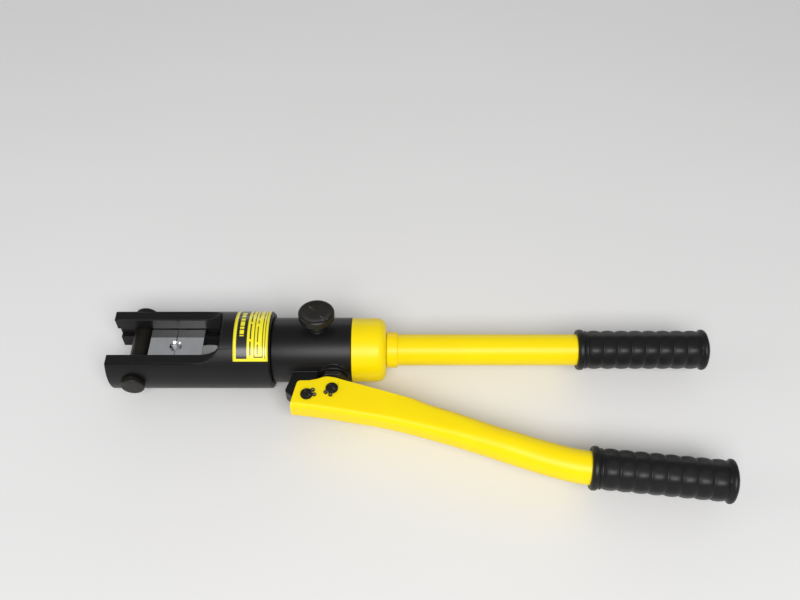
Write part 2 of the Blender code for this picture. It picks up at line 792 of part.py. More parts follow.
def round_stations():
    """The last stations are round, on the moving grip's axis."""
    forward = np.array([math.cos(SPLAY), -math.sin(SPLAY)])
    side = np.array([math.sin(SPLAY), math.cos(SPLAY)])
    stations = []
    for distance in (-5.0, 1.0, 100.0):
        center = np.array(MOVING_GRIP_AT) + forward * distance
        stations.append((center - side * TUBE_R, center + side * TUBE_R, 0.0, TUBE_R, TUBE_R))
    return stations


def section(half_width, half_height, corner):
    """A rounded rectangle about the origin, as (across, up) points. Its corners are arcs of equal steps that
    leave out their own ends, so a fully round section has no doubled points."""
    steps = (np.arange(CORNER_POINTS) + 0.5) / CORNER_POINTS * math.pi / 2
    points = []
    for quarter, (sx, sy) in enumerate([(1, 1), (-1, 1), (-1, -1), (1, -1)]):
        angle = steps + quarter * math.pi / 2
        across = sx * (half_width - corner) + corner * np.cos(angle)
        up = sy * (half_height - corner) + corner * np.sin(angle)
        points.append(np.stack([across, up], axis=1))
    return np.concatenate(points)


def lever_rings(wall, past_ends):
    """Section rings along the lever, a wall's thickness inside its outer surface."""
    stations = LEVER_STATIONS + round_stations()
    rings = []
    for outer, inner, past, half_z, corner in stations:
        outer, inner = np.array(outer), np.array(inner)
        across = (inner - outer) / np.linalg.norm(inner - outer)
        inner = inner + across * past
        half_width = np.linalg.norm(inner - outer) / 2
        corner = min(corner, half_width, half_z)
        flat = section(half_width - wall, half_z - wall, max(corner - wall, 1.2))
        center = (outer + inner) / 2
        rings.append([(*(center + across * a), z) for a, z in flat])
    rings = np.array(rings)
    if past_ends:
        rings[0] += (rings[0].mean(axis=0) - rings[1].mean(axis=0)) * 0.4
        tail = rings[-1].mean(axis=0) - rings[-2].mean(axis=0)
        rings[-1] += tail / np.linalg.norm(tail) * 4
    return rings


def loft(name, rings, look=None):
    """A closed skin through unlike sections that share one count of points."""
    stations, count = rings.shape[:2]
    bm = bmesh.new()
    verts = [[bm.verts.new(Vector(point) * MM) for point in ring_points] for ring_points in rings]
    for i in range(stations - 1):
        for j in range(count):
            k = (j + 1) % count
            bm.faces.new((verts[i][j], verts[i][k], verts[i + 1][k], verts[i + 1][j]))
    bm.faces.new(verts[0])
    bm.faces.new(verts[-1])
    bmesh.ops.recalc_face_normals(bm, faces=bm.faces)
    mesh = bpy.data.meshes.new(name)
    bm.to_mesh(mesh)
    bm.free()
    mesh.shade_smooth()
    mesh.set_sharp_from_angle(angle=math.radians(35))
    return add_object(name, mesh, look)


def lever():
    """One pressed tube: a channel round the two pins, open towards the body, that closes into a round tube."""
    shell = loft("lever", lever_rings(0.0, False), "yellow_paint")
    cut(shell, loft("lever_hollow", lever_rings(SHEET, True)))
    edge = [(-95.0, 0.0), (-95.0, -41.0), (-80.4, -41.0)]
    edge += arc((-76.5, -38.2), 3.4, 195, 92, 4)
    edge += [(-68.0, -34.6), (-63.0, -32.6), (-59.0, -31.3), (-54.0, -30.9), (-49.0, -32.2), (-42.0, -34.7)]
    edge += [(-29.0, -38.7), (-14.5, -43.3), (1.5, -48.4), (24.0, -53.5), (24.0, 0.0)]
    cut(shell, slab("lever_mouth", edge, 40))
    for name, place in (("fulcrum", FULCRUM), ("plunger", CRANK)):
        cut(shell, rod(f"lever_{name}_hole", -20, 20, LEVER_PIN_HOLE_R, steps=SMALL, at=(*place, 0), along=UP))


def lever_pins():
    """Each pin has a groove near both ends, and a clip in each groove."""
    tip = CLIP_Z + CLIP_THICK + 1.2
    low, high = CLIP_Z - 0.2, CLIP_Z + CLIP_THICK + GAP
    neck = LEVER_PIN_R - 0.9
    half = [(tip, 0), (tip, LEVER_PIN_R - 0.5), (tip - 0.5, LEVER_PIN_R), (high, LEVER_PIN_R), (high, neck)]
    half += [(low, neck), (low, LEVER_PIN_R)]
    profile = half + [(-height, radius) for height, radius in reversed(half)]
    for name, place, prongs in (("fulcrum", FULCRUM, 5), ("plunger", CRANK, 235)):
        turned(f"{name}_pin", profile, look="black_steel", steps=SMALL, at=(*place, 0), along=UP)
        outline = arc((0, 0), CLIP_R, prongs + 28, prongs + 332, 12)
        outline += arc((0, 0), neck + GAP, prongs + 318, prongs + 42, 10)
        for end, sign in (("top", 1), ("bottom", -1)):
            height = sign * (CLIP_Z + CLIP_THICK / 2)
            slab(f"{name}_clip_{end}", outline, CLIP_THICK, "black_steel", at=(*place, height))


def rating_label():
    """A thin film bent round the barrel."""
    inner, outer = BARREL_R + GAP, BARREL_R + GAP + 0.3
    first, last = 90 + 52, 90 - 60
    outline = arc((0, 0), outer, last, first, 16) + arc((0, 0), inner, first, last, 16)
    slab("rating_label", outline, 26.8, "label_film", at=(-114.9, 0, 0), turn=FACING_X)


def build():
    crimp_head()
    head_pin()
    die("fixed_die", DIE_FRONT, -1)
    die("moving_die", DIE_REAR, 1)
    ram()
    pump_body()
    valves()
    pump()
    release_valve()
    fixed_handle()
    grips()
    lever()
    lever_pins()
    rating_label()


build()
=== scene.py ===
# %% [markdown]
# # A hand-pumped hydraulic crimping tool
#
# A crimping tool squeezes a cable lug between two steel dies. This one has a forked steel head, a ram
# behind the dies, a pump body with a release knob, a fixed handle that holds the oil, and a pumping
# lever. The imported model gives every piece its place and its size, and this file gives the pieces their
# fine surfaces and finishes.

# %% Load the frame
import math

import bmesh
import bpy
import numpy as np
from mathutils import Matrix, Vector


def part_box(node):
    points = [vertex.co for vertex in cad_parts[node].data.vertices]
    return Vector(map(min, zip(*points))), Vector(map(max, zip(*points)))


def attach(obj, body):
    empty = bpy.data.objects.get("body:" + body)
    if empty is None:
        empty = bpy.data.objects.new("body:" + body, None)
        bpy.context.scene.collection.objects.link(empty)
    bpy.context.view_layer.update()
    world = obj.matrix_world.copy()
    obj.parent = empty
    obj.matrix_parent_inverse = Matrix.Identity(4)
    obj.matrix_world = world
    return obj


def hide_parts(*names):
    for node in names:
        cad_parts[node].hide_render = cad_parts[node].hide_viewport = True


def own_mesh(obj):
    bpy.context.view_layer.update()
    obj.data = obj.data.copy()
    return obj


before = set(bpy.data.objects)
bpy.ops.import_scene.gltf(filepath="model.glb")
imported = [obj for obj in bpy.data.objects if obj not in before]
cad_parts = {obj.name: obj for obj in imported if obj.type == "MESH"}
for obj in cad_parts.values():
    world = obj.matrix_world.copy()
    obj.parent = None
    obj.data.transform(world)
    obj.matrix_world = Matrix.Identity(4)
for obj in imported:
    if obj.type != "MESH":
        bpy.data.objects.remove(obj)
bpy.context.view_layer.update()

# %% [markdown]
# ## The tool's own axes
#
# A maker measures this tool from the centre line of its barrel, in millimetres: x from the fork towards
# the handles, y across, z up. Both round ends of that line can be read from the frame, so every new
# surface is worked out in those axes and moved into the frame at the end.

# %% Axes and moving into the frame
MM = 0.001
HEAD_FRONT = -227.5
TUBE_LOW, TUBE_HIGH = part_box("handle_tube")
FRONT_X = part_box("crimp_head")[0][0]
ORIGIN = np.array(
    [FRONT_X - HEAD_FRONT * MM, (TUBE_LOW[1] + TUBE_HIGH[1]) / 2, (TUBE_LOW[2] + TUBE_HIGH[2]) / 2]
)
print("the barrel's axis passes through", ORIGIN.round(4))


def to_frame(points):
    """Millimetres in the tool's axes become metres in the frame."""
    return np.asarray(points, dtype=float) * MM + ORIGIN


def basis(along):
    """Two directions square to along, and along itself, as rows. The first is square to z if it can be."""
    along = np.array(along, dtype=float)
    along /= np.linalg.norm(along)
    helper = np.array([0.0, 0.0, 1.0]) if abs(along[2]) < 0.9 else np.array([1.0, 0.0, 0.0])
    first = np.cross(helper, along)
    first /= np.linalg.norm(first)
    return np.array([first, np.cross(along, first), along])


# %% [markdown]
# ## Surfaces from arrays
#
# Nearly every part here is a grid of points: rings carried along a path. One function joins such rings
# with four-sided faces, closes the ends, and turns the faces outwards. An outline's corners are rounded
# first, because no machined or painted edge is perfectly sharp, and the thin bright line on a rounded
# edge is what makes steel look like steel.


# %% Grid and outline helpers
WELD = 5e-7  # metres: points closer than this are one


def mesh_piece(name, points, faces, smooth_angle=32.0):
    """A mesh from arrays: doubles merged, normals outwards, edges over smooth_angle degrees left sharp."""
    mesh = bpy.data.meshes.new(name)
    mesh.from_pydata(to_frame(points).tolist(), [], faces)
    bm = bmesh.new()
    bm.from_mesh(mesh)
    bmesh.ops.remove_doubles(bm, verts=bm.verts, dist=WELD)
    bmesh.ops.recalc_face_normals(bm, faces=bm.faces)
    bm.to_mesh(mesh)
    bm.free()
    mesh.shade_smooth()
    mesh.set_sharp_from_angle(angle=math.radians(smooth_angle))
    piece = bpy.data.objects.new(name, mesh)
    bpy.context.scene.collection.objects.link(piece)
    return piece


def rings_piece(name, rings, loop=False, smooth_angle=32.0):
    """Joins rings of points, shape (rings, points, 3). A loop joins the last ring to the first; otherwise
    both ends are closed with one face each."""
    count, around = rings.shape[:2]
    index = np.arange(count * around).reshape(count, around)
    rows = index if not loop else np.concatenate([index, index[:1]])
    after = np.roll(rows, -1, axis=1)
    quads = np.stack([rows[:-1], after[:-1], after[1:], rows[1:]], axis=-1).reshape(-1, 4)
    faces = quads.tolist()
    if not loop:
        faces += [index[0].tolist(), index[-1].tolist()]
    return mesh_piece(name, rings.reshape(-1, 3), faces, smooth_angle)


def rounded(outline, radii, closed=True, steps=5):
    """Each corner becomes an arc that touches both its sides. The arc's points are a blend of its two end
    radii, weighted by sines, which keeps them all at one distance from its centre. An arc takes just
    under half of a side that it shares with another arc."""
    outline = np.asarray(outline, dtype=float)
    radii = np.broadcast_to(radii, len(outline))
    result = []
    for i, (corner, radius) in enumerate(zip(outline, radii)):
        at_end = not closed and i in (0, len(outline) - 1)
        before = outline[i - 1] - corner
        after = outline[(i + 1) % len(outline)] - corner
        lengths = np.linalg.norm(before), np.linalg.norm(after)
        if at_end or radius <= 0 or min(lengths) < 1e-9:
            result.append(corner[None])
            continue
        before, after = before / lengths[0], after / lengths[1]
        bend = math.acos(np.clip(before @ after, -1, 1))
        if bend > math.pi - 0.02:
            result.append(corner[None])
            continue
        beside = radii[i - 1], radii[(i + 1) % len(outline)]
        most = [length * (0.48 if other > 0 else 0.97) for length, other in zip(lengths, beside)]
        reach = min(radius / math.tan(bend / 2), *most)
        radius = reach * math.tan(bend / 2)
        middle = corner + (before + after) / np.linalg.norm(before + after) * radius / math.sin(bend / 2)
        start, end = corner + before * reach - middle, corner + after * reach - middle
        turn = math.pi - bend
        share = np.linspace(0, 1, steps + 1)[:, None]
        spokes = np.sin((1 - share) * turn) * start + np.sin(share * turn) * end
        result.append(middle + spokes / math.sin(turn))
    return np.concatenate(result)


def arc(center, radius, start, end, count=24):
    """Points at one distance from a centre, between two angles in degrees."""
    angle = np.radians(np.linspace(start, end, count))
    return np.stack([center[0] + radius * np.cos(angle), center[1] + radius * np.sin(angle)], axis=1)


def revolve(name, profile, sides=96, at=(0, 0, 0), along=(1, 0, 0), smooth_angle=32.0):
    """A turned part. Each profile point (height, radius) sweeps a circle about the axis. A profile whose
    two ends are on the axis is closed there; any other closes on itself, as a ring does."""
    profile = np.asarray(profile, dtype=float)
    first, second, axis = basis(along)
    angle = np.linspace(0, 2 * np.pi, sides, endpoint=False)
    spoke = np.cos(angle)[:, None] * first + np.sin(angle)[:, None] * second
    rings = profile[:, None, 1:2] * spoke[None] + profile[:, None, 0:1] * axis + np.array(at, dtype=float)
    on_axis = profile[0, 1] < 1e-6 and profile[-1, 1] < 1e-6
    return rings_piece(name, rings, loop=not on_axis, smooth_angle=smooth_angle)


def turned(name, profile, radii, sides, at=(0, 0, 0), along=(1, 0, 0), closed=False, steps=5):
    """A turned part whose profile has its corners rounded first."""
    return revolve(name, rounded(profile, radii, closed, steps), sides, at, along)


def rod(name, radius, start, end, sides, at=(0, 0, 0), along=(1, 0, 0)):
    """A plain round bar between two heights on its axis, to join on or to drill with."""
    return revolve(name, [(start, 0), (start, radius), (end, radius), (end, 0)], sides, at, along)


def plate(name, outline, thick, edge=0.3, at=(0, 0, 0), axes=np.eye(3), steps=3):
    """A flat outline with a thickness along the third of its axes. The rim's quarter circle moves the
    outline inwards as it nears each face, along the mean of the normals of the two sides that meet at
    each point."""
    outline = np.asarray(outline, dtype=float)
    forward = np.roll(outline, -1, axis=0) - outline
    side = np.stack([forward[:, 1], -forward[:, 0]], axis=1)
    side /= np.linalg.norm(side, axis=1, keepdims=True)
    normal = side + np.roll(side, 1, axis=0)
    normal /= np.maximum(np.linalg.norm(normal, axis=1, keepdims=True), 1e-9)
    area = np.sum(outline[:, 0] * np.roll(outline[:, 1], -1) - np.roll(outline[:, 0], -1) * outline[:, 1])
    normal *= np.sign(area)
    turn = np.linspace(0, np.pi / 2, steps + 1) if edge > 0 else np.array([np.pi / 2])
    inset = edge * (1 - np.sin(turn))
    height = thick / 2 - edge + edge * np.cos(turn) if edge > 0 else np.array([thick / 2])
    inset = np.concatenate([inset, inset[::-1]])
    height = np.concatenate([height, -height[::-1]])
    flat = outline[None] - normal[None] * inset[:, None, None]
    local = np.concatenate([flat, np.broadcast_to(height[:, None, None], (*flat.shape[:2], 1))], axis=2)
    return rings_piece(name, local @ np.asarray(axes, dtype=float) + np.array(at, dtype=float))


IN_XZ = np.array([[1, 0, 0], [0, 0, 1], [0, -1, 0]])  # a plate whose outline is in x and z
ACROSS, UP = (0, 1, 0), (0, 0, 1)

# %% [markdown]
# ## Cutting and softening
#
# The fork head and the pump body are milled from bar, so they are made the same way here: a turned blank,
# then cutters taken away from it. A bevel then runs along the sharp edges or, where another part fits
# closely, only along the outer ones. Its normals are hardened, so the big flat faces stay flat in their
# shading and only the narrow rounded strip catches the light.


# %% Cutting helpers
SAME_POINT, SHORTEST_EDGE = 0.002, 0.001
REACH = 40.0  # how far a cutter goes sideways, well past the tool
CLEAR = 5.0  # how far a cutter starts outside the metal


def baked(piece):
    """Applies the piece's modifiers, so that its shape is all in its mesh."""
    graph = bpy.context.evaluated_depsgraph_get()
    mesh = bpy.data.meshes.new_from_object(piece.evaluated_get(graph))
    piece.modifiers.clear()
    old = piece.data
    piece.data = mesh
    bpy.data.meshes.remove(old)
    return piece


def combine(piece, *others, operation="DIFFERENCE"):
    """Takes the other solids away from the piece, or joins them to it, and removes them. Points that the
    cuts leave within two thousandths of a millimetre of each other become one, so that no seam opens."""
    for other in others:
        modifier = piece.modifiers.new(other.name, "BOOLEAN")
        modifier.operation = operation
        modifier.object = other
        modifier.solver = "EXACT"
    baked(piece)
    for other in others:
        bpy.data.objects.remove(other, do_unlink=True)
    bm = bmesh.new()
    bm.from_mesh(piece.data)
    bmesh.ops.remove_doubles(bm, verts=bm.verts, dist=SAME_POINT * MM)
    bmesh.ops.dissolve_degenerate(bm, edges=bm.edges, dist=SHORTEST_EDGE * MM)
    bm.to_mesh(piece.data)
    bm.free()


def soften(piece, width, segments=3, angle=28.0, outer_edges=None):
    """Rounds every edge sharper than angle by width millimetres, with hardened normals. With outer_edges,
    only edges that stick out and whose middle, in millimetres, passes that test."""
    piece.data.shade_smooth()
    bevel = piece.modifiers.new("softened edges", "BEVEL")
    bevel.width = width * MM
    bevel.segments = segments
    bevel.limit_method = "WEIGHT" if outer_edges else "ANGLE"
    bevel.angle_limit = math.radians(angle)
    bevel.harden_normals = True
    bevel.use_clamp_overlap = False
    if outer_edges:
        bm = bmesh.new()
        bm.from_mesh(piece.data)
        weight = bm.edges.layers.float.new("bevel_weight_edge")
        for edge in bm.edges:
            middle = (np.array(edge.verts[0].co + edge.verts[1].co) / 2 - ORIGIN) / MM
            sharp = edge.is_manifold and edge.calc_face_angle_signed(0.0) > math.radians(angle)
            edge[weight] = float(sharp and outer_edges(*middle))
        bm.to_mesh(piece.data)
        bm.free()
    return baked(piece)


FINISHES = {}


def show(piece, body, finish, node):
    """Gives a piece its body and its finish, named for its slot, and hides the node that it stands for."""
    piece.data.materials.clear()
    piece.data.materials.append(FINISHES[finish])
    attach(piece, body)
    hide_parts(node)
    print(f"{piece.name}: {len(piece.data.polygons)} faces on {body}")


# %% [markdown]
# ## Shared effects for the finishes
#
# Three small node groups serve all the materials. The first finds outer edges, where paint wears thin:
# Cycles' pointiness is above one half on an edge, and a little noise breaks the line up. The second gives
# sprayed paint its faint ripple. The third draws fine rubbing marks that change the gloss a little. They
# put out only masks and heights, and each material mixes them with its own colours.


# %% Node group helpers
def new_group(name, output, **inputs):
    """An empty shader node group with one output and its inputs' usual values, and its two end nodes."""
    group = bpy.data.node_groups.new(name, "ShaderNodeTree")
    for socket, usual in inputs.items():
        item = group.interface.new_socket(name=socket, in_out="INPUT", socket_type="NodeSocketFloat")
        item.default_value = usual
    group.interface.new_socket(name=output, in_out="OUTPUT", socket_type="NodeSocketFloat")
    return group, group.nodes.new("NodeGroupInput"), group.nodes.new("NodeGroupOutput")


def add_node(tree, kind, links=None, **settings):
    """A node with its settings, its plain socket values and its links, all in one call."""
    node = tree.nodes.new(kind)
    for key, value in settings.items():
        setattr(node, key, value)
    for socket, source in (links or {}).items():
        target = node.inputs[socket]
        if isinstance(source, bpy.types.NodeSocket):
            tree.links.new(source, target)
        else:
            target.default_value = source
    return node


def ramp(tree, source, low, high):
    """A smooth step from 0 at low to 1 at high."""
    links = {"Value": source, "From Min": low, "From Max": high}
    return add_node(tree, "ShaderNodeMapRange", links, interpolation_type="SMOOTHSTEP").outputs["Result"]


def object_place(tree):
    """Object coordinates, which stay with the piece when it moves."""
    return add_node(tree, "ShaderNodeTexCoord").outputs["Object"]


def noise(tree, place, scale, detail):
    """Cloudy noise from 0 to 1."""
    links = {"Vector": place, "Scale": scale, "Detail": detail}
    return add_node(tree, "ShaderNodeTexNoise", links).outputs["Fac"]


def maths(tree, operation, first, second=0.0):
    """One sum on two sockets or plain numbers."""
    return add_node(tree, "ShaderNodeMath", {0: first, 1: second}, operation=operation).outputs[0]


# %% The three shared groups
def edge_wear_group():
    """Mask: pointiness past one half by more than the reach, times noise at the given scale, times the
    amount."""
    group, start, end = new_group("edge wear", "Mask", Reach=0.02, Scale=400.0, Amount=1.0)
    pointy = add_node(group, "ShaderNodeNewGeometry").outputs["Pointiness"]
    past = maths(group, "SUBTRACT", pointy, 0.5)
    edge = maths(group, "DIVIDE", past, start.outputs["Reach"])
    broken = ramp(group, noise(group, object_place(group), start.outputs["Scale"], 4.0), 0.42, 0.6)
    mask = maths(group, "MULTIPLY", ramp(group, edge, 0.5, 1.5), broken)
    group.links.new(maths(group, "MULTIPLY", mask, start.outputs["Amount"]), end.inputs["Mask"])
    return group


def ripple_group():
    """Height: soft noise of a given scale, plus a finer one times the share Fine, for sprayed paint,
    moulded rubber and printed film."""
    group, start, end = new_group("ripple", "Height", Scale=500.0, Fine=0.35)
    place = object_place(group)
    broad = noise(group, place, start.outputs["Scale"], 2.0)
    fine = noise(group, place, maths(group, "MULTIPLY", start.outputs["Scale"], 3.7), 3.0)
    share = maths(group, "MULTIPLY", fine, start.outputs["Fine"])
    group.links.new(maths(group, "ADD", broad, share), end.inputs["Height"])
    return group


def rubbing_group():
    """Mask: two sets of thin streaks. Each stretches noise along one direction and keeps its narrow
    peaks; a broad cloud then thins them out, because handling marks come in patches."""
    group, start, end = new_group("rubbing marks", "Mask", Scale=120.0, Amount=1.0)
    place = object_place(group)
    streaks = []
    for turn, stretch in ((0.5, (1.0, 14.0, 14.0)), (-0.9, (13.0, 1.0, 13.0))):
        links = {"Vector": place, "Rotation": (0.3, turn, turn), "Scale": stretch}
        stretched = add_node(group, "ShaderNodeMapping", links).outputs["Vector"]
        streaks.append(ramp(group, noise(group, stretched, start.outputs["Scale"], 2.0), 0.66, 0.72))
    patch = ramp(group, noise(group, place, 22.0, 2.0), 0.45, 0.65)
    both = maths(group, "MAXIMUM", *streaks)
    mask = maths(group, "MULTIPLY", maths(group, "MULTIPLY", both, patch), start.outputs["Amount"])
    group.links.new(mask, end.inputs["Mask"])
    return group


EDGE_WEAR = edge_wear_group()
RIPPLE = ripple_group()
RUBBING = rubbing_group()
print("node groups:", [group.name for group in bpy.data.node_groups])


# %% Placing a group, and mixing with it
def placed(tree, group, **values):
    """One of the groups in a material. Each value is a plain number or a socket to link."""
    return add_node(tree, "ShaderNodeGroup", values, node_tree=group).outputs[0]


def mixed(tree, mask, low, high, kind="RGBA"):
    """low where the mask is 0 and high where it is 1, for colours or for plain values."""
    first, out = {"RGBA": (6, 2), "FLOAT": (2, 0)}[kind]
    links = {0: mask}
    for index, value in enumerate((low, high), first):
        links[index] = (*value, 1.0) if isinstance(value, tuple) else value
    return add_node(tree, "ShaderNodeMix", links, data_type=kind).outputs[out]


def new_look(name, **constants):
    """A material with one Principled shader. Constants go straight on the shader's own sockets."""
    look = bpy.data.materials.new(name)
    look.use_nodes = True
    tree = look.node_tree
    shader = tree.nodes["Principled BSDF"]
    for socket, value in constants.items():
        shader.inputs[socket.replace("_", " ")].default_value = value
    return look, tree, shader


def bumped(tree, shader, height, strength, distance):
    """Shades the surface as if height stood proud of it by up to distance millimetres."""
    links = {"Height": height, "Strength": strength, "Distance": distance * MM}
    tree.links.new(add_node(tree, "ShaderNodeBump", links).outputs["Normal"], shader.inputs["Normal"])


# %% [markdown]
# ## The finishes
#
# The steel of the head and the pump body is sprayed a satin black. The handles and the lever are a
# glossier yellow, the pins and the knob are chemically blackened, the dies are chrome plated, and the
# grips are moulded rubber. Each finish changes a little over its surface: thicker or thinner paint,
# rubbed edges, handling marks.


# %% Sprayed paints
def paint(name, color, deep, edge, rough, ripple, wear, rubbed, shine):
    """Sprayed paint on steel. color drifts towards deep in broad clouds, edge is what worn edges show,
    and the rubbing marks are a little rougher than the rest."""
    look, tree, shader = new_look(name, Specular_IOR_Level=shine)
    base = mixed(tree, ramp(tree, noise(tree, object_place(tree), 28.0, 3.0), 0.35, 0.7), color, deep)
    worn = placed(tree, EDGE_WEAR, Reach=0.035, Scale=650.0, Amount=wear)
    tree.links.new(mixed(tree, worn, base, edge), shader.inputs["Base Color"])
    marks = placed(tree, RUBBING, Scale=110.0, Amount=rubbed)
    tree.links.new(mixed(tree, marks, rough, rough + 0.18, "FLOAT"), shader.inputs["Roughness"])
    bumped(tree, shader, placed(tree, RIPPLE, Scale=ripple, Fine=0.25), 0.25, 0.05)
    return look


FINISHES["black_paint"] = paint(
    "satin black paint", color=(0.006, 0.0058, 0.006), deep=(0.0045, 0.0042, 0.004), edge=(0.04, 0.04, 0.042),
    rough=0.4, ripple=900.0, wear=0.5, rubbed=0.4, shine=0.3,
)
FINISHES["yellow_paint"] = paint(
    "glossy yellow paint", color=(0.98, 0.76, 0.001), deep=(0.98, 0.73, 0.001), edge=(1.0, 0.84, 0.03),
    rough=0.34, ripple=420.0, wear=0.4, rubbed=0.03, shine=0.26,
)


# %% Blackened, chromed and bright metal
def metal(name, color, dark, edge, rough, marks_rough, scale, wear, metallic=1.0):
    """Bare or treated metal: colour clouds, rubbing marks that change the gloss, and brighter worn
    edges."""
    look, tree, shader = new_look(name, Metallic=metallic, Specular_IOR_Level=0.3)
    base = mixed(tree, ramp(tree, noise(tree, object_place(tree), 90.0, 4.0), 0.35, 0.7), color, dark)
    worn = placed(tree, EDGE_WEAR, Reach=0.04, Scale=900.0, Amount=wear)
    tree.links.new(mixed(tree, worn, base, edge), shader.inputs["Base Color"])
    marks = placed(tree, RUBBING, Scale=scale, Amount=1.0)
    tree.links.new(mixed(tree, marks, rough, marks_rough, "FLOAT"), shader.inputs["Roughness"])
    bumped(tree, shader, marks, 0.03, 0.02)
    return look


# The blackened steel's near-black is its own colour; its warm brown tint is a painted reflection of yellow
# surroundings.
FINISHES["black_steel"] = metal(
    "blackened steel", (0.0085, 0.0072, 0.005), (0.014, 0.012, 0.008), (0.14, 0.13, 0.11),
    rough=0.38, marks_rough=0.42, scale=160.0, wear=0.8, metallic=0.0,
)
FINISHES["chrome"] = metal(
    "polished chrome", (0.86, 0.87, 0.89), (0.8, 0.81, 0.83), (0.95, 0.95, 0.95),
    rough=0.06, marks_rough=0.22, scale=260.0, wear=0.4,
)
FINISHES["bright_steel"] = metal(
    "ground steel", (0.58, 0.59, 0.61), (0.5, 0.51, 0.53), (0.75, 0.75, 0.76),
    rough=0.22, marks_rough=0.4, scale=300.0, wear=0.5,
)
FINISHES["spring_steel"] = metal(
    "oil-tempered wire", (0.24, 0.24, 0.26), (0.16, 0.15, 0.16), (0.4, 0.4, 0.42),
    rough=0.34, marks_rough=0.5, scale=400.0, wear=0.3,
)
FINISHES["brass"] = metal(
    "turned brass", (0.78, 0.55, 0.22), (0.66, 0.44, 0.17), (0.9, 0.7, 0.35),
    rough=0.24, marks_rough=0.42, scale=300.0, wear=0.5,
)


# %% Rubbers
def rubber(name, color, worn_color, rough, grain, depth):
    """Moulded rubber: a fine grain from the mould, and a greyer, duller skin on what is touched most."""
    look, tree, shader = new_look(name, Specular_IOR_Level=0.32)
    handled = placed(tree, EDGE_WEAR, Reach=0.05, Scale=300.0, Amount=0.6)
    tree.links.new(mixed(tree, handled, color, worn_color), shader.inputs["Base Color"])
    marks = placed(tree, RUBBING, Scale=90.0, Amount=0.6)
    tree.links.new(mixed(tree, marks, rough, rough + 0.2, "FLOAT"), shader.inputs["Roughness"])
    bumped(tree, shader, placed(tree, RIPPLE, Scale=grain, Fine=0.6), 0.35, depth)
    return look


FINISHES["black_rubber"] = rubber(
    "grip rubber", (0.0052, 0.0052, 0.0056), (0.012, 0.012, 0.013), rough=0.4, grain=1500.0, depth=0.06
)
FINISHES["seal_rubber"] = rubber(
    "seal rubber", (0.018, 0.018, 0.018), (0.03, 0.03, 0.03), rough=0.62, grain=2200.0, depth=0.05
)
print("finishes:", {slot: look.name for slot, look in FINISHES.items()})

# %% [markdown]
# ## Fork head
#
# The head starts as a round bar. A slot from the front leaves two arms, both are milled flat above and
# below, and the mill leaves its own radius where the flats end. A narrower groove in the arms' inner
# walls guides the dies, and the ram comes out of the bore at the slot's root.

# %% Fork head
BARREL_R = 30.5
HEAD_REAR = -100.0
SLOT_HALF = 16.5
SLOT_ROOT = -140.0
FLAT_Z = 17.5
RUNOUT_X = -156.2
RUNOUT_R = 20.0
GROOVE_Y = 20.4
GROOVE_Z = 5.6
HEAD_PIN_X = -207.7
HEAD_PIN_R = 7.0
SEAT_R, SEAT_X = 24.5, -112.3  # where the pump body's front sits
CYLINDER_R, CYLINDER_X = 20.0, -134.0
ROD_BORE_R = 16.3
WIPER_R, WIPER_X = 18.2, (-135.8, -138.2)


def block(name, low, high):
    """A box between two corners, as a plate with no rounding."""
    outline = [(low[0], low[1]), (high[0], low[1]), (high[0], high[1]), (low[0], high[1])]
    return plate(name, outline, high[2] - low[2], edge=0, at=(0, 0, (low[2] + high[2]) / 2))


def make_head():
    """The turned blank, less the bores, the slot, the grooves, the flats and the pin's hole. Only outer
    edges ahead of the slot's root, and the rear rim, are softened: the dies and the ram fit too closely
    for a fillet."""
    rim, lip, outside = 1.2, 0.5, HEAD_FRONT - CLEAR
    blank = [(HEAD_REAR, 0), (HEAD_REAR, BARREL_R - rim), (HEAD_REAR - rim, BARREL_R),
             (HEAD_FRONT + lip, BARREL_R), (HEAD_FRONT, BARREL_R - lip), (HEAD_FRONT, 0)]
    head = turned("fork_head", blank, 0.3, 160)
    bore = [(HEAD_REAR + 1, 0), (HEAD_REAR + 1, SEAT_R), (SEAT_X, SEAT_R), (SEAT_X, CYLINDER_R),
            (CYLINDER_X, CYLINDER_R), (CYLINDER_X, ROD_BORE_R), (WIPER_X[0], ROD_BORE_R),
            (WIPER_X[0], WIPER_R), (WIPER_X[1], WIPER_R), (WIPER_X[1], ROD_BORE_R),
            (SLOT_ROOT - 1, ROD_BORE_R), (SLOT_ROOT - 1, 0)]
    runout = arc((RUNOUT_X, FLAT_Z + RUNOUT_R), RUNOUT_R, -90, 0, 20)
    top = FLAT_Z + RUNOUT_R + 12.5
    over = np.concatenate([[(outside, FLAT_Z)], runout, [(RUNOUT_X + RUNOUT_R, top), (outside, top)]])
    cutters = [
        revolve("bore", bore, 128),
        block("slot", (outside, -SLOT_HALF, -REACH), (SLOT_ROOT, SLOT_HALF, REACH)),
        block("groove", (outside, -GROOVE_Y, -GROOVE_Z), (SLOT_ROOT, GROOVE_Y, GROOVE_Z)),
        plate("upper flat", over, 2 * REACH, edge=0, axes=IN_XZ),
        plate("lower flat", over * (1, -1), 2 * REACH, edge=0, axes=IN_XZ),
        rod("pin hole", HEAD_PIN_R + 0.3, REACH, -REACH, 64, (HEAD_PIN_X, 0, 0), ACROSS),
    ]
    combine(head, *cutters)

    def outer(x, y, z):
        return x < SLOT_ROOT - 1.5 or math.hypot(y, z) > BARREL_R - 2.5

    return soften(head, 0.9, segments=4, outer_edges=outer)


show(make_head(), "root", "black_paint", "crimp_head")

# %% [markdown]
# ## Head pin, cap and dies
#
# The pin carries the whole crimping force across the fork. Its heads are low discs with a turned chamfer.
# The dies are two chrome plated blocks that meet at the parting plane, each with half of a hexagon in it;
# the cavity's mouth is chamfered above and below so that it doesn't cut the cable.


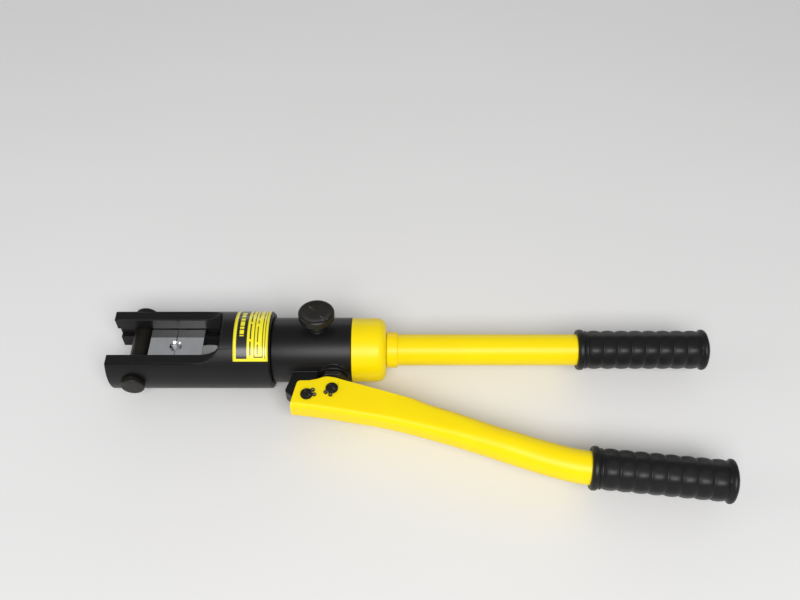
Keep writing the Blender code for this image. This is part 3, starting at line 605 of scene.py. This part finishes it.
# %% Head pin and its cap
def make_head_pin():
    """The pin with its near head, and the cap that is its far head, both turned about one axis."""
    under, thick, head_r, chamfer = BARREL_R + 0.4, 4.6, 9.2, 0.7
    tip, tip_r, shoulder, gap = 33.7, 5.0, 30.5, 0.3
    top = under + thick
    disc = [(top, 0), (top, head_r - chamfer), (top - chamfer, head_r), (under, head_r)]
    pin = [(tip, 0), (tip, tip_r), (shoulder, tip_r), (shoulder, HEAD_PIN_R), (-under, HEAD_PIN_R)]
    pin += [(-height, radius) for height, radius in disc[::-1]]
    cap = disc + [(under, tip_r + gap), (tip + gap, tip_r + gap), (tip + gap, 0)]
    for name, node, profile in (("fork_pin", "head_pin", pin), ("fork_pin_cap", "pin_cap", cap)):
        piece = turned(name, profile, 0.35, 72, (HEAD_PIN_X, 0, 0), ACROSS)
        show(piece, node, "black_steel", node)


make_head_pin()

# %% Dies
PARTING_X = -178.5
PARTING_GAP = 0.3
DIE_HALF = 20.0
DIE_Z = 5.3
HEX_HALF = 3.25
MOUTH_R = (5.9, 2.9)


def make_die(name, body, node, outer_x, side):
    """Half of the pair: a block whose inner face holds half a hexagon, with a cone above and below it."""
    face, corner = PARTING_X + side * PARTING_GAP / 2, 2 * HEX_HALF / math.sqrt(3)
    floor_x = face + side * HEX_HALF
    outline = [(outer_x, -DIE_HALF), (face, -DIE_HALF), (face, -corner), (floor_x, -corner / 2),
               (floor_x, corner / 2), (face, corner), (face, DIE_HALF), (outer_x, DIE_HALF)]
    die = plate(name, outline, 2 * DIE_Z, edge=0)
    high, low = DIE_Z + 1, DIE_Z - 2
    cone = [(high, 0), (high, MOUTH_R[0]), (low, MOUTH_R[1]), (low, 0)]
    for sign in (1, -1):
        combine(die, revolve("mouth", cone, 64, (PARTING_X, 0, 0), (0, 0, sign)))
    show(soften(die, 0.3), body, "chrome", node)


make_die("front_die", "root", "fixed_die", -199.5, -1)
make_die("rear_die", "moving_die", "moving_die", -156.7, 1)

# %% [markdown]
# ## Pump body
#
# The body is a turned block with a round boss for the pump's plunger and a flat lug for the lever's
# fulcrum pin. The lug's nose limits how far the lever can open. The plunger's end is an eye with a short
# slot, because the lever's pin moves on an arc while the plunger moves on a straight line.

# %% Pump body with its boss and lug
FULCRUM = np.array([-71.0, -47.5])
CRANK = np.array([-52.0, -42.3])
PLUNGER_X = -51.9
PLUNGER_BORE_R = 5.3
PIN_HOLE_R = 4.2
KNOB_X = -64.5
KNOB_TILT = math.radians(9.5)
RELEASE_AXIS = np.array([0.0, math.sin(KNOB_TILT), math.cos(KNOB_TILT)])


def make_pump_body():
    """The turned block with its boss, lug and release boss joined on, less the bores that show."""
    profile = [(-11, 0), (-11, 7.5), (-26, 7.5), (-26, 21.7), (-38.2, 21.7), (-38.2, 25.7), (-99.7, 25.7),
               (-99.7, 24.2), (-110.5, 24.2), (-110.5, 0)]
    body = turned("pump_block", profile, 0.4, 144)
    nose, nose_r, lug_r, lug_thick = FULCRUM + (-14.0, 6.0), 3.0, 7.0, 12.2
    front, rear = arc(nose, nose_r, 150, 233, 8), arc(FULCRUM, lug_r, 233, 352, 20)
    lug = np.concatenate([[(-64.0, -15), (-79.5, -15)], front, rear])
    release_boss = [(28.4, 0), (28.4, 6.4), (24.0, 7.0), (24.0, 0)]
    joined = [
        turned("boss", [(-5, 0), (-5, 12.5), (-26.5, 12.5), (-26.5, 0)], 0.8, 64, (PLUNGER_X, 0, 0), ACROSS),
        plate("lug", lug, lug_thick, edge=0),
        revolve("release boss", release_boss, 48, (KNOB_X, 0, 0), RELEASE_AXIS),
    ]
    combine(body, *joined, operation="UNION")
    cuts = [
        rod("cylinder", CYLINDER_R, -91, -115, 144),
        rod("gland bore", 8.3, -20, -REACH, 48, (PLUNGER_X, 0, 0), ACROSS),
        rod("plunger bore", PLUNGER_BORE_R, 2, -22, 40, (PLUNGER_X, 0, 0), ACROSS),
        rod("release bore", 4.3, REACH, 6.2, 40, (KNOB_X, 0, 0), RELEASE_AXIS),
        rod("fulcrum hole", PIN_HOLE_R, 9, -9, 40, (*FULCRUM, 0), UP),
    ]
    combine(body, *cuts)
    return soften(body, 0.5, angle=30)


show(make_pump_body(), "root", "black_paint", "pump_body")


# %% Gland nut and plunger
def make_gland():
    """A hexagon nut. The cone that turns its corners off leaves the curved edges of a real nut."""
    over_flats = 19.6
    where = {"at": (PLUNGER_X, 0, 0), "along": ACROSS}
    hexagon = arc((0, 0), over_flats / math.sqrt(3), 0, 300, 6)
    nut = plate("gland_nut", hexagon, 3.4, edge=0, at=(PLUNGER_X, -28.5, 0), axes=IN_XZ)
    dome = [(-26.5, 0), (-26.5, 10.8), (-27.4, 11.5), (-29.2, 11.5), (-30.4, 10.1), (-30.4, 0)]
    combine(nut, revolve("dome", dome, 72, **where), operation="INTERSECT")
    combine(nut, rod("skirt", 8, -23, -27.5, 48, **where), operation="UNION")
    combine(nut, rod("hole", PLUNGER_BORE_R, -10, -REACH, 48, **where))
    show(soften(nut, 0.25), "root", "black_steel", "plunger_gland")


def make_plunger():
    """A round shaft, with an eye joined on and its slot cut out, each two half circles a little apart."""
    shaft = [(1, 0), (1, 5), (-42.3, 5), (-42.3, 0)]
    piece = turned("plunger_rod", shaft, 0.4, 48, (PLUNGER_X, 0, 0), ACROSS)
    for radius, thick, operation in ((7.2, 10.4, "UNION"), (4.35, 14, "DIFFERENCE")):
        outline = np.concatenate([arc((0.9, 0), radius, -90, 90), arc((-0.9, 0), radius, 90, 270)])
        combine(piece, plate("eye", outline, thick, edge=0, at=(PLUNGER_X, CRANK[1], 0)), operation=operation)
    show(soften(piece, 0.35), "plunger", "bright_steel", "pump_plunger")


make_gland()
make_plunger()

# %% [markdown]
# ## Release knob
#
# Turning the knob lets the oil back into the handle and the ram goes home. It is a plain blackened disc,
# slightly hollow on top, on a short stem that leans away from the lever.


# %% Knob and stem
def make_knob():
    """Two turned parts on the stem's leaning axis. The disc's top is a shallow dish in a rounded rim."""
    top, under, radius = 42.0, 34.5, 14.0
    knob = [(top - 0.7, 0), (top - 0.6, 8.5), (top - 0.2, 10.8), (top, 12.0), (top - 0.15, 13.1),
            (top - 1.1, radius), (under + 1.6, radius), (under + 0.4, 13.0), (under, 11.5), (under, 3.3),
            (under + 5, 3.3), (under + 5, 0)]
    stem = [(under + 4.7, 0), (under + 4.7, 3), (under - 0.3, 3), (under - 0.3, 4), (20.6, 4), (20.6, 2.9),
            (18, 2.9), (18, 4), (11.8, 4), (11.8, 0)]
    where = {"at": (KNOB_X, 0, 0), "along": RELEASE_AXIS}
    show(turned("knob_disc", knob, 0.7, 112, **where), "release_knob", "black_steel", "release_knob")
    show(turned("knob_stem", stem, 0.2, 48, **where), "release_knob", "black_steel", "release_stem")


make_knob()

# %% [markdown]
# ## Fixed handle
#
# The yellow collar closes the pump body's rear, with a generous radius at its back. A short ring stands
# behind it and the tube runs into the grip. They are turned parts, so a profile and a sweep are all they
# need.


# %% Collar, ring and tube
TUBE_R = 12.5


def make_handle():
    """Three hollow turned parts. Each profile is a closed outline that runs round the part's wall."""
    collar = [(-10.8, 17), (-10.8, 25.4), (-37.9, 25.4), (-37.9, 22), (-25.7, 22), (-25.7, 14), (-16, 14),
              (-16, 12.8), (-10.8, 12.8)]
    ring = [(-2, 14.3), (-10.5, 14.3), (-10.5, 12.8), (-2, 12.8)]
    tube = [(239, TUBE_R), (-15.5, TUBE_R), (-15.5, 10.5), (239, 10.5)]
    collar_radii, ring_radii = [0, 7.5, 0.5, 0.3, 0, 0, 0, 0, 0.4], [0.9, 0.4, 0, 0.1]
    parts = [
        (turned("collar", collar, collar_radii, 144, closed=True, steps=12), "reservoir_collar"),
        (turned("socket_ring", ring, ring_radii, 96, closed=True), "handle_socket"),
        (turned("handle_pipe", tube, 0.2, 96, closed=True), "handle_tube"),
    ]
    for piece, node in parts:
        show(piece, "root", "yellow_paint", node)


make_handle()

# %% [markdown]
# ## Rubber grips
#
# Both grips come from one mould: a thick lip at the front, a thin ring behind it, eight rows of eight
# soft pads, and a lip that runs into a domed end. The pads are a height over a smooth barrel. Along the
# grip each row ends in a sharp groove, and round the grip the rows swell and sink softly, eight times to
# a turn.

# %% Grip surface
GRIP_LENGTH = 105.2
PAD_ROWS, PAD_COLUMNS = 8, 8
PAD_TURN = math.radians(29.5)
PAD_START, PAD_END = 9.0, 97.0
VALLEY_R, PAD_HEIGHT = 14.0, 1.3


def pad_height(row, column):
    """Height from 0 to 1; row and column run from -1 to 1 over a pad. Along the grip it is one minus the
    distance squared, to the power three quarters, which leaves a sharp groove between rows, and round
    the grip it swells by a soft cosine."""
    return np.clip(1 - np.abs(row) ** 2.0, 0, 1) ** 0.75 * (0.83 + 0.17 * np.cos(np.pi * column))


def grip_lines():
    """The outer side's points (x, radius) from the dome to the front lip, then the bore's, and how much
    of the pads' height each point takes."""
    end = GRIP_LENGTH
    dome = [(end, 0), (end - 0.15, 6.0), (end - 1.3, 11.5), (end - 3.0, 15.3), (end - 4.4, 16.2),
            (end - 6.0, 16.2), (end - 7.4, 14.4)]
    lips = [(8.9, 14.0), (8.1, 14.9), (6.9, 15.1), (6.1, 14.4), (5.2, 15.7), (3.9, 16.2), (2.0, 16.2),
            (0.5, 15.6), (0, 14.2), (0, 12.8)]
    bore = [(end - 3, 12.8), (end - 3, 0)]
    plain = [rounded(part, 1.2, closed=False, steps=6) for part in (dome, lips)]
    barrel = np.linspace(PAD_END, PAD_START, 190)
    barrel = np.stack([barrel, np.full_like(barrel, VALLEY_R)], axis=1)
    outline = np.concatenate([plain[0], barrel, plain[1], bore])
    after = len(plain[1]) + len(bore)
    share = np.concatenate([np.zeros(len(plain[0])), np.ones(len(barrel)), np.zeros(after)])
    return outline, share


def make_grip(name, node, body, start, along):
    """Sweeps the outline round the axis and raises the pads, row by row and column by column."""
    outline, share = grip_lines()
    sides = 192
    angle = np.linspace(0, 2 * np.pi, sides, endpoint=False)
    row = (outline[:, 0] - PAD_START) / (PAD_END - PAD_START) * PAD_ROWS
    column = ((angle + PAD_TURN) / (2 * np.pi) * PAD_COLUMNS) % 1.0
    swell = pad_height(2 * (row % 1.0)[:, None] - 1, 2 * column[None] - 1)
    radius = outline[:, 1:2] + share[:, None] * PAD_HEIGHT * swell
    first, second, axis = basis(along)
    spoke = np.cos(angle)[:, None] * first + np.sin(angle)[:, None] * second
    rings = radius[:, :, None] * spoke[None] + outline[:, None, 0:1] * axis + np.array(start)
    show(rings_piece(name, rings, smooth_angle=60), body, "black_rubber", node)


SPLAY = math.radians(6.25)
GRIP_AXIS = np.array([math.cos(SPLAY), -math.sin(SPLAY), 0.0])
MOVING_START = np.array([138.4, -104.5, 0.0])
FIXED_START = (140.4, 0.0, 0.0)
make_grip("upper_grip", "fixed_grip", "root", FIXED_START, (1, 0, 0))
make_grip("lower_grip", "moving_grip", "lever", MOVING_START, GRIP_AXIS)

# %% [markdown]
# ## Pumping lever
#
# The lever is one steel tube. Its front is pressed into a channel, open towards the body, that carries
# both pins. The surface is a row of rounded rectangles whose corners grow until the last ones are
# circles. Between the stations that a maker would measure, a curve through the points fills in the rest,
# so the light runs along the lever without a break.

# %% Lever stations and sections
# A station is the outer side's x and y, the inner side's x and y, how far the closed section runs past the
# inner side, half the height, and the corners' radius.
LEVER_STATIONS = np.array(
    [
        (-83.5, -56.5, -79.0, -34.8, 8.0, 9.0, 4.2),
        (-70.0, -58.2, -67.0, -34.2, 8.0, 9.0, 4.2),
        (-57.0, -60.1, -55.0, -31.2, 8.0, 9.0, 4.2),
        (-45.0, -62.2, -42.0, -34.6, 8.0, 9.0, 4.2),
        (-34.0, -64.4, -29.0, -38.7, 8.0, 9.0, 4.4),
        (-21.0, -66.9, -14.5, -43.2, 7.0, 9.0, 4.8),
        (-7.0, -70.2, 1.5, -48.4, 4.0, 9.2, 5.4),
        (12.0, -75.7, 21.0, -53.5, 0.0, 9.6, 6.4),
        (29.0, -81.2, 38.5, -59.6, 0.0, 10.3, 7.8),
        (46.0, -87.2, 54.5, -65.4, 0.0, 11.2, 9.6),
        (62.0, -93.2, 69.5, -71.0, 0.0, 11.9, 11.3),
        (77.2, -98.9, 84.0, -76.0, 0.0, 12.4, 12.2),
        (105.0, -109.0, 111.0, -85.1, 0.0, 12.2, 12.05),
    ]
)
SHEET = 2.5


def round_end():
    """The last stations are circles on the grip's axis."""
    side = np.array([math.sin(SPLAY), math.cos(SPLAY)])
    rows = []
    for distance in (-5.0, 27.0, 62.0, 100.0):
        center = MOVING_START[:2] + GRIP_AXIS[:2] * distance
        rows.append([*(center - side * TUBE_R), *(center + side * TUBE_R), 0.0, TUBE_R, TUBE_R])
    return np.array(rows)


def through(rows, per_span):
    """A curve through the rows: between two of them, a cubic whose slope at each is half the step from
    the row before to the row after."""
    slope = np.gradient(rows, axis=0)
    part = np.linspace(0, 1, per_span, endpoint=False)[:, None, None]
    start, end, leaving, arriving = rows[:-1], rows[1:], slope[:-1], slope[1:]
    cubic = (2 * part**3 - 3 * part**2 + 1) * start + (part**3 - 2 * part**2 + part) * leaving
    cubic = cubic + (3 * part**2 - 2 * part**3) * end + (part**3 - part**2) * arriving
    return np.concatenate([cubic.transpose(1, 0, 2).reshape(-1, rows.shape[1]), rows[-1:]])


def lever_rings(rows, wall, corner_points=8):
    """Rounded rectangles across the lever, moved inwards by the wall. A corner's arc leaves out its own
    ends, so a circle has no doubled points."""
    outer, inner = rows[:, 0:2], rows[:, 2:4]
    across = inner - outer
    across /= np.linalg.norm(across, axis=1, keepdims=True)
    inner = inner + across * rows[:, 4:5]
    width = np.linalg.norm(inner - outer, axis=1) / 2
    height, corner = rows[:, 5], np.minimum(rows[:, 6], np.minimum(width, rows[:, 5]))
    width, height, corner = width - wall, height - wall, np.maximum(corner - wall, 0.8)
    quarter = (np.arange(corner_points) + 0.5) / corner_points * np.pi / 2
    angle = np.concatenate([quarter + k * np.pi / 2 for k in range(4)])
    sign = np.repeat([(1, 1), (-1, 1), (-1, -1), (1, -1)], corner_points, axis=0)
    aside = sign[None, :, 0] * (width - corner)[:, None] + corner[:, None] * np.cos(angle)
    above = sign[None, :, 1] * (height - corner)[:, None] + corner[:, None] * np.sin(angle)
    center = (outer + inner) / 2
    flat = center[:, None, :] + across[:, None, :] * aside[:, :, None]
    return np.concatenate([flat, above[:, :, None]], axis=2)


# %% Lever
def make_lever():
    """The outer surface less the hollow, the mouth towards the body, and the pins' holes. The hollow's
    end rings move outwards, so that it cuts both ends open."""
    rows = through(np.concatenate([LEVER_STATIONS, round_end()]), 8)
    lever = rings_piece("lever_arm", lever_rings(rows, 0.0))
    hollow = lever_rings(rows, SHEET)
    hollow[0] += (hollow[0].mean(axis=0) - hollow[4].mean(axis=0)) * 0.5
    hollow[-1] += GRIP_AXIS * 4
    edge = [(-95, 0), (-95, -41), (-80.3, -41), (-78.8, -34.7), (-70, -34.6), (-64, -33.4), (-57, -30.8),
            (-50, -32.0), (-42, -34.7), (-29, -38.7), (-14.5, -43.3), (1.5, -48.5), (24, -53.6), (24, 0)]
    mouth = rounded(edge, [0, 0, 0, 3.2, 6, 9, 9, 14, 30, 40, 40, 0, 0, 0], steps=8)
    holes = [rod("hole", PIN_HOLE_R, 20, -20, 48, (*place, 0), UP) for place in (FULCRUM, CRANK)]
    combine(lever, rings_piece("hollow", hollow), plate("mouth", mouth, REACH, edge=0), *holes)
    show(soften(lever, 0.4, angle=35), "lever", "yellow_paint", "lever")


make_lever()

# %% [markdown]
# ## Lever pins and their rings
#
# Each pin is held by a snap ring at both ends. A snap ring is a thin open hoop with two small eyes, where
# pliers take hold to spread it. The two openings point in different directions, as fitted by hand.

# %% Pins and snap rings
CLIP_Z, CLIP_THICK, PIN_R = 9.3, 1.0, 3.9
# An eye is a neck and a disc joined to the hoop's end, and a hole in the disc. Each has its distance from the
# pin's axis, its radius and its operation.
EYE = ((4.4, 1.2, "UNION"), (5.9, 1.6, "UNION"), (6.0, 0.7, "DIFFERENCE"))
EYE_TURN = 21.5


def make_pin(name, node, place):
    """A round pin with a groove near each end. Half of its profile is mirrored to make the whole."""
    tip, low, high, neck = CLIP_Z + 2.2, CLIP_Z - 0.2, CLIP_Z + 1.3, PIN_R - 0.9
    half = np.array([(tip, 0), (tip, PIN_R), (high, PIN_R), (high, neck), (low, neck), (low, PIN_R)])
    profile = np.concatenate([half, half[::-1] * (-1, 1)])
    show(turned(name, profile, 0.25, 56, (*place, 0), UP), "lever", "black_steel", node)


def make_ring(name, node, place, sign, opening):
    """The hoop's outline with an eye at each end, drilled through. Each eye's parts differ a little in
    height, so that no two of their faces lie in one plane."""
    outer, inner, gap = 4.8, 3.3, 25
    hoop = np.concatenate([arc((0, 0), outer, opening + gap, opening + 360 - gap, 60),
                           arc((0, 0), inner, opening + 360 - gap, opening + gap, 40)])
    at = (*place, sign * (CLIP_Z + CLIP_THICK / 2))
    ring = plate(name, hoop, CLIP_THICK, edge=0.2, at=at)
    for turn in (EYE_TURN, -EYE_TURN):
        angle = math.radians(opening + turn)
        for out, radius, operation in EYE:
            eye = (at[0] + out * math.cos(angle), at[1] + out * math.sin(angle), at[2])
            height = CLIP_THICK / 2 + (0.5 if operation == "DIFFERENCE" else -0.01 * out)
            combine(ring, rod("eye", radius, height, -height, 24, eye, UP), operation=operation)
    show(ring, "lever", "black_steel", node)


make_pin("fulcrum_bolt", "fulcrum_pin", FULCRUM)
make_pin("plunger_bolt", "plunger_pin", CRANK)
for end, sign in (("top", 1), ("bottom", -1)):
    make_ring(f"fulcrum_ring_{end}", f"fulcrum_clip_{end}", FULCRUM, sign, 17)
    make_ring(f"plunger_ring_{end}", f"plunger_clip_{end}", CRANK, sign, 240)

# %% [markdown]
# ## Rating label
#
# A printed film is bent round the barrel. It carries no lettering: plain bars stand where lines of print
# would be. The film has its own map, in which u runs along the barrel and v round it, and every printed
# shape is a rectangle in that map, drawn by one small group.

# %% Label film and its print
LABEL_X = (-128.3, -101.5)
LABEL_TURN = (142, 30)
LABEL_GAP, LABEL_THICK = 0.08, 0.2


def bar_group():
    """Mask: 1 inside a rectangle of the map, 0 outside, with an edge as soft as a printed one."""
    names = ("U", "V", "Low U", "High U", "Low V", "High V")
    group, start, end = new_group("printed bar", "Mask", **dict.fromkeys(names, 0.0))
    sides = []
    for axis, soft in (("U", 0.008), ("V", 0.003)):
        value = start.outputs[axis]
        for limit, sign in (("Low " + axis, 1.0), ("High " + axis, -1.0)):
            past = maths(group, "MULTIPLY", maths(group, "SUBTRACT", value, start.outputs[limit]), sign)
            sides.append(ramp(group, past, -soft, soft))
    mask = sides[0]
    for side in sides[1:]:
        mask = maths(group, "MULTIPLY", mask, side)
    group.links.new(mask, end.inputs["Mask"])
    return group


def bars(low_u, high_u, black, *spans):
    """Rectangles side by side along v, all black (1) or all in the film's own yellow (0)."""
    return [(low_u, high_u, low_v, high_v, black) for low_v, high_v in spans]


LABEL_PRINT = [
    *bars(0.09, 0.40, 1, (0.035, 0.965)),
    *bars(0.18, 0.30, 0, (0.33, 0.345), (0.36, 0.42), (0.435, 0.47), (0.485, 0.56)),
    *bars(0.18, 0.30, 0, (0.575, 0.62), (0.65, 0.70), (0.715, 0.78)),
    *bars(0.475, 0.515, 1, (0.08, 0.26), (0.29, 0.52), (0.55, 0.68), (0.71, 0.93)),
    *bars(0.60, 0.86, 1, (0.05, 0.95)),
    *bars(0.625, 0.835, 0, (0.065, 0.935)),
    *bars(0.69, 0.72, 1, (0.09, 0.22), (0.25, 0.47), (0.52, 0.58), (0.62, 0.9)),
    *bars(0.91, 0.93, 1, (0.035, 0.965)),
]


def label_look():
    """The film's yellow, printed over in order, under a thin clear laminate."""
    look, tree, shader = new_look("label film", Roughness=0.32, Coat_Weight=0.4, Coat_Roughness=0.15)
    bar = bar_group()
    uv = add_node(tree, "ShaderNodeUVMap", uv_map="film").outputs["UV"]
    parts = add_node(tree, "ShaderNodeSeparateXYZ", {0: uv})
    yellow, ink = (0.95, 0.84, 0.015), (0.01, 0.01, 0.009)
    here = {"U": parts.outputs["X"], "V": parts.outputs["Y"]}
    color = yellow
    for low_u, high_u, low_v, high_v, black in LABEL_PRINT:
        limits = {"Low U": low_u, "High U": high_u, "Low V": low_v, "High V": high_v}
        color = mixed(tree, placed(tree, bar, **here, **limits), color, ink if black else yellow)
    tree.links.new(color, shader.inputs["Base Color"])
    bumped(tree, shader, placed(tree, RIPPLE, Scale=300.0, Fine=0.2), 0.15, 0.04)
    return look


def make_label():
    """A sheet on a grid: u along the barrel, v along the arc, with a thickness, and just clear of the
    paint."""
    u, v = np.linspace(0, 1, 13), np.linspace(0, 1, 61)
    angle = np.radians(LABEL_TURN[0] + (LABEL_TURN[1] - LABEL_TURN[0]) * v)
    radius = BARREL_R + LABEL_GAP
    points = np.empty((len(u), len(v), 3))
    points[..., 0] = (LABEL_X[0] + (LABEL_X[1] - LABEL_X[0]) * u)[:, None]
    points[..., 1] = radius * np.cos(angle)
    points[..., 2] = radius * np.sin(angle)
    index = np.arange(len(u) * len(v)).reshape(len(u), len(v))
    faces = np.stack([index[:-1, :-1], index[1:, :-1], index[1:, 1:], index[:-1, 1:]], axis=-1).reshape(-1, 4)
    mesh = bpy.data.meshes.new("film_label")
    mesh.from_pydata(to_frame(points.reshape(-1, 3)).tolist(), [], faces.tolist())
    place = np.stack(np.meshgrid(u, v, indexing="ij"), axis=-1).reshape(-1, 2)
    corner = np.empty(len(mesh.loops), dtype=np.int32)
    mesh.loops.foreach_get("vertex_index", corner)
    mesh.uv_layers.new(name="film").data.foreach_set("uv", place[corner].astype(np.float32).ravel())
    mesh.shade_smooth()
    label = bpy.data.objects.new("film_label", mesh)
    bpy.context.scene.collection.objects.link(label)
    wall = label.modifiers.new("film", "SOLIDIFY")
    wall.thickness = LABEL_THICK * MM
    wall.offset = 1.0
    show(baked(label), "root", "label_film", "rating_label")


FINISHES["label_film"] = label_look()
make_label()

# %% [markdown]
# ## Inside the tool
#
# The ram shows at the root of the slot, so it gets a fine surface. The valves, seals, springs and the oil
# bladder are hidden until the tool comes apart. Their shapes come from the frame as they are, and they
# get the finish of what they are made of.


# %% Ram
def make_ram():
    """One turned part: a piston with a groove for its seals, and the rod in front of it."""
    ram = [(-91.5, 0), (-91.5, 18.7), (-92.5, 19.7), (-94.7, 19.7), (-94.7, 17.4), (-98.9, 17.4),
           (-98.9, 19.7), (-103.5, 19.7), (-103.5, 16), (-138.7, 16), (-139.7, 15), (-139.7, 0)]
    show(turned("ram_rod", ram, 0.25, 96), "ram", "bright_steel", "ram")


make_ram()

# %% [markdown]
# ## Return spring
#
# A spring round the ram pushes it home when the oil is let back. It is wire wound in a helix whose turns
# lie closer at both ends. In the tool, as the ram comes out, its piston closes on the cylinder's front wall
# and presses the spring towards that wall; this file makes the spring in one shape only.


# %% Spring
SPRING_WIRE_R = 1.1
SPRING_TURNS = 4


def make_return_spring():
    """A circle carried along a helix: x eases in and out at the ends, and the wire's section turns with
    it."""
    low, high = (np.array(corner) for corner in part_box("ram_return_spring"))
    front, room = (low[0] - ORIGIN[0]) / MM, (high[0] - low[0]) / MM
    coil = (high[2] - low[2]) / 2 / MM - SPRING_WIRE_R
    along = np.linspace(0, 1, SPRING_TURNS * 48 + 1)
    eased = along - 0.7 * np.sin(2 * np.pi * along) / (2 * np.pi)
    angle = 2 * np.pi * SPRING_TURNS * along
    outward = np.stack([np.zeros_like(angle), np.cos(angle), np.sin(angle)], axis=1)
    path = coil * outward
    path[:, 0] = front + SPRING_WIRE_R + (room - 2 * SPRING_WIRE_R) * eased
    round_wire = np.linspace(0, 2 * np.pi, 14, endpoint=False)[:, None]
    section = np.cos(round_wire) * outward[:, None] + np.sin(round_wire) * (1.0, 0.0, 0.0)
    spring = rings_piece("return_spring", path[:, None] + SPRING_WIRE_R * section)
    show(spring, "root", "spring_steel", "ram_return_spring")
    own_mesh(spring)


make_return_spring()

# %% Finishes of the hidden parts
HIDDEN = {
    "spring_steel": ["inlet_spring", "outlet_spring", "relief_spring"],
    "seal_rubber": ["ram_seal", "rod_wiper", "head_oring", "plunger_seal", "stem_seal", "collar_oring",
                    "oil_bladder"],
    "brass": ["ram_backup_ring", "inlet_plug", "outlet_plug", "relief_screw", "suction_filter",
              "filler_plug"],
    "bright_steel": ["inlet_ball", "outlet_ball", "relief_ball", "release_ball", "bladder_clamp"],
}
for finish, nodes in HIDDEN.items():
    for node in nodes:
        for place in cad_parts[node].material_slots:
            place.material = FINISHES[finish]
    print(finish, "on", ", ".join(nodes))

# %% [markdown]
# ## Camera, floor and light
#
# The tool lies on a plain pale floor and is seen from the lever's side, a little over halfway up. One big
# soft light near the camera draws the long highlight on the barrel and the tube, a second from behind
# shapes the upper edges, a weak one lifts the fork's end, and a pale surrounding fills the rest. The
# scene shows colours by the Standard view transform, because the default one turns a strong yellow paint
# pale.

# %% Camera
STAND_OFF = np.array([0.0, -412.0, 592.0])
LENS, TILT = 40.5, math.radians(38.0)
camera_data = bpy.data.cameras.new("camera")
camera_data.sensor_width = 36.0
camera_data.lens = LENS
camera_data.clip_end = 20.0
camera = bpy.data.objects.new("camera", camera_data)
camera.location = to_frame(STAND_OFF)
camera.rotation_euler = (TILT, 0.0, 0.0)
bpy.context.scene.collection.objects.link(camera)
bpy.context.scene.camera = camera
print("camera at", [round(value, 3) for value in camera.location])


# %% Floor and lights
def make_floor():
    """A flat sheet far wider than the view, with a faint unevenness in its tone."""
    side = 6.0
    corners = [(-side, -side, 0), (side, -side, 0), (side, side, 0), (-side, side, 0)]
    mesh = bpy.data.meshes.new("floor")
    mesh.from_pydata(corners, [], [(0, 1, 2, 3)])
    look, tree, shader = new_look("pale floor", Roughness=0.7)
    cloud = noise(tree, object_place(tree), 3.0, 2.0)
    tree.links.new(mixed(tree, cloud, (0.8, 0.79, 0.78), (0.84, 0.835, 0.83)), shader.inputs["Base Color"])
    mesh.materials.append(look)
    floor = bpy.data.objects.new("floor", mesh)
    bpy.context.scene.collection.objects.link(floor)


def make_light(name, place, target, size, power):
    """A soft rectangle of light that faces its target."""
    light = bpy.data.lights.new(name, "AREA")
    light.shape = "RECTANGLE"
    light.size, light.size_y = size
    light.energy = power
    lamp = bpy.data.objects.new(name, light)
    lamp.location = place
    lamp.rotation_euler = (Vector(target) - Vector(place)).to_track_quat("-Z", "Y").to_euler()
    bpy.context.scene.collection.objects.link(lamp)


make_floor()
make_light("key", (0.15, -1.2, 1.5), (0.0, 0.0, 0.03), size=(1.5, 0.8), power=32.0)
make_light("back", (0.0, 2.0, 0.5), (0.0, 0.0, 0.03), size=(2.2, 0.4), power=4.5)
make_light("side", (-1.4, -0.2, 0.7), (-0.1, 0.0, 0.03), size=(0.8, 0.8), power=3.0)
world = bpy.data.worlds.new("pale room")
bpy.context.scene.world = world
world.use_nodes = True
backdrop = world.node_tree.nodes["Background"]
backdrop.inputs["Color"].default_value = (0.97, 0.98, 1.0, 1.0)
backdrop.inputs["Strength"].default_value = 0.3
bpy.context.scene.view_settings.view_transform = "Standard"
